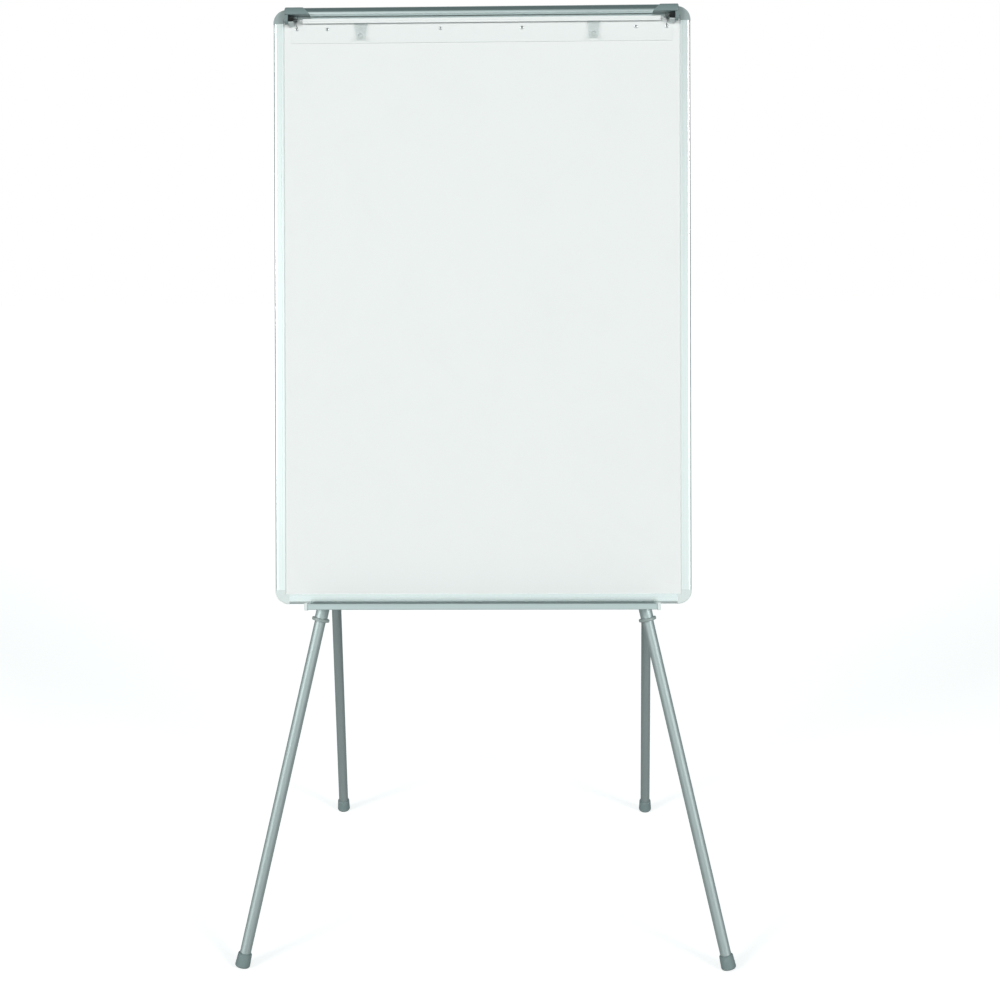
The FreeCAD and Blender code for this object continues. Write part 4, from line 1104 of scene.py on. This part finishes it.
@dataclass
class Studio:
    """A white sweep, two soft lights in front, and the camera.

    The surround that metal reflects has a band in front, at the height of the board, with a low and a
    high part below and above it; each has a left and a right shade.
    """

    camera_at: Direction = (0.0823, -2.5666, 1.3038)
    yaw: float = math.radians(1.283)
    pitch: float = math.radians(12.204)
    roll: float = math.radians(-0.4345)
    lens: float = 52.16
    sensor: float = 36.0
    band: tuple[Colour, Colour] = ((1.34, 1.42, 1.41), (0.90, 0.96, 0.95))
    low: tuple[Colour, Colour] = ((0.84, 0.90, 0.89), (1.00, 1.07, 1.06))
    high: tuple[Colour, Colour] = ((0.54, 0.60, 0.59), (0.27, 0.33, 0.33))
    beside: Colour = (0.15, 0.18, 0.18)
    behind: Colour = (0.55, 0.59, 0.585)
    overhead: Colour = (0.12, 0.155, 0.155)
    floor_half: float = 14.0
    floor_shade: float = 0.72
    floor_lift: float = 0.67
    light_spread: float = 0.26
    lights: tuple[tuple[Direction, float], ...] = (
        ((0.63, -0.70, 0.36), 1.05),
        ((-0.63, -0.70, 0.36), 1.10),
    )

    def build(self) -> None:
        """Set the view, the surround, the floor, the lights and the camera."""
        scene = bpy.context.scene
        scene.view_settings.view_transform = "Standard"
        scene.view_settings.look = "None"
        self.set_surround(scene)
        self.lay_floor(scene)
        for index, (towards, strength) in enumerate(self.lights):
            self.hang_light(scene, f"soft_light_{index}", Vector(towards), strength)
        self.set_camera(scene)

    def set_surround(self, scene: Scene) -> None:
        """White behind the easel, dimmer for what the metal reflects.

        Args:
            scene: The scene whose world is made.
        """
        world = bpy.data.worlds.new("studio_surround")
        scene.world = world
        world.use_nodes = True
        world.node_tree.nodes.clear()
        sheet = Sheet(world.node_tree)
        towards = sheet.split(sheet.add("ShaderNodeTexCoord").outputs["Generated"])
        rightward = sheet.ramp(towards["X"], -0.14, 0.08)
        band, low, high = (sheet.blend(rightward, *shades) for shades in (self.band, self.low, self.high))
        front = sheet.blend(sheet.ramp(towards["Z"], 0.12, 0.24, 1.0, 0.0), band, low)
        front = sheet.blend(sheet.ramp(towards["Z"], 0.36, 0.50), front, high)
        level = sheet.blend(sheet.ramp(towards["Y"], -0.75, 0.3), front, self.beside)
        level = sheet.blend(sheet.ramp(towards["Y"], 0.6, 0.9), level, self.behind)
        glow = sheet.add("ShaderNodeBackground", in_Strength=1.0,
                         in_Color=sheet.blend(sheet.ramp(towards["Z"], 0.55, 0.8), level, self.overhead))
        seen = sheet.add("ShaderNodeBackground", in_Color=(1.0, 1.0, 1.0, 1.0), in_Strength=1.0)
        camera_ray = sheet.add("ShaderNodeLightPath").outputs["Is Camera Ray"]
        mix = sheet.add("ShaderNodeMixShader", in_0=camera_ray, in_1=glow.outputs[0], in_2=seen.outputs[0])
        sheet.add("ShaderNodeOutputWorld", in_Surface=mix.outputs[0])

    def lay_floor(self, scene: Scene) -> None:
        """A plain pale floor, far larger than the easel.

        Args:
            scene: The scene it lies in.
        """
        mesh = bpy.data.meshes.new("studio_floor")
        half = self.floor_half
        mesh.from_pydata([(-half, -half, 0.0), (half, -half, 0.0), (half, half, 0.0), (-half, half, 0.0)], [],
                         [(0, 1, 2, 3)])
        floor = bpy.data.objects.new("studio_floor", mesh)
        scene.collection.objects.link(floor)
        material = bpy.data.materials.new("studio_floor_paper")
        material.use_nodes = True
        shader = material.node_tree.nodes["Principled BSDF"]
        settings = {"Base Color": (*(self.floor_shade,) * 3, 1.0), "Roughness": 0.9,
                    "Specular IOR Level": 0.1, "Emission Color": (1.0, 1.0, 1.0, 1.0)}
        for name, value in settings.items():
            shader.inputs[name].default_value = value
        sheet = Sheet(material.node_tree)
        seen = sheet.add("ShaderNodeLightPath").outputs["Is Camera Ray"]
        sheet.put(sheet.math("MULTIPLY", seen, self.floor_lift), shader.inputs["Emission Strength"])
        mesh.materials.append(material)

    def hang_light(self, scene: Scene, name: str, towards: Vector, strength: float) -> None:
        """A soft, distant light that falls evenly on the easel and the floor.

        Args:
            scene: The scene it lights.
            name: The light's name.
            towards: The direction the light comes from.
            strength: Its strength.
        """
        data = bpy.data.lights.new(name, "SUN")
        data.angle = self.light_spread
        data.energy = strength
        lamp = bpy.data.objects.new(name, data)
        lamp.rotation_euler = (-towards).to_track_quat("-Z", "Y").to_euler()
        scene.collection.objects.link(lamp)

    def set_camera(self, scene: Scene) -> None:
        """Stand the camera in front of the board, looking slightly down.

        Args:
            scene: The scene it becomes the camera of.
        """
        data = bpy.data.cameras.new("camera")
        data.sensor_width = self.sensor
        data.lens = self.lens
        data.dof.use_dof = False
        camera = bpy.data.objects.new("camera", data)
        level = math.cos(self.pitch)
        forward = Vector((-math.sin(self.yaw) * level, math.cos(self.yaw) * level, -math.sin(self.pitch)))
        right = Vector((math.cos(self.yaw), math.sin(self.yaw), 0.0))
        above = right.cross(forward)
        turned_right = right * math.cos(self.roll) + above * math.sin(self.roll)
        turned_up = above * math.cos(self.roll) - right * math.sin(self.roll)
        rotation = Matrix((turned_right, turned_up, -forward)).transposed()
        camera.matrix_world = Matrix.Translation(self.camera_at) @ rotation.to_4x4()
        scene.collection.objects.link(camera)
        scene.camera = camera


# ---- making the easel


def main() -> None:
    """Build the studio and every sub-assembly in order."""
    logging.basicConfig(level=logging.INFO, format="%(name)s: %(message)s")
    Studio().build()
    BoardPanel().build()
    PaperClamp().build()
    for side in SIDES:
        PadHook(side).build()
    PenTray().build()
    BackFrame().build()
    for side in SIDES:
        TelescopicLeg("front", side, outer_tone_and_painted_shade=0.70, inner_tone_and_painted_shade=0.60).build()
        # The rear tubes are painted darker than the front ones: painted shade from the board they stand behind.
        TelescopicLeg("rear", side, outer_tone_and_painted_shade=0.56, inner_tone_and_painted_shade=0.50).build()
    Fasteners().build()


if __name__ == "__main__":
    main()
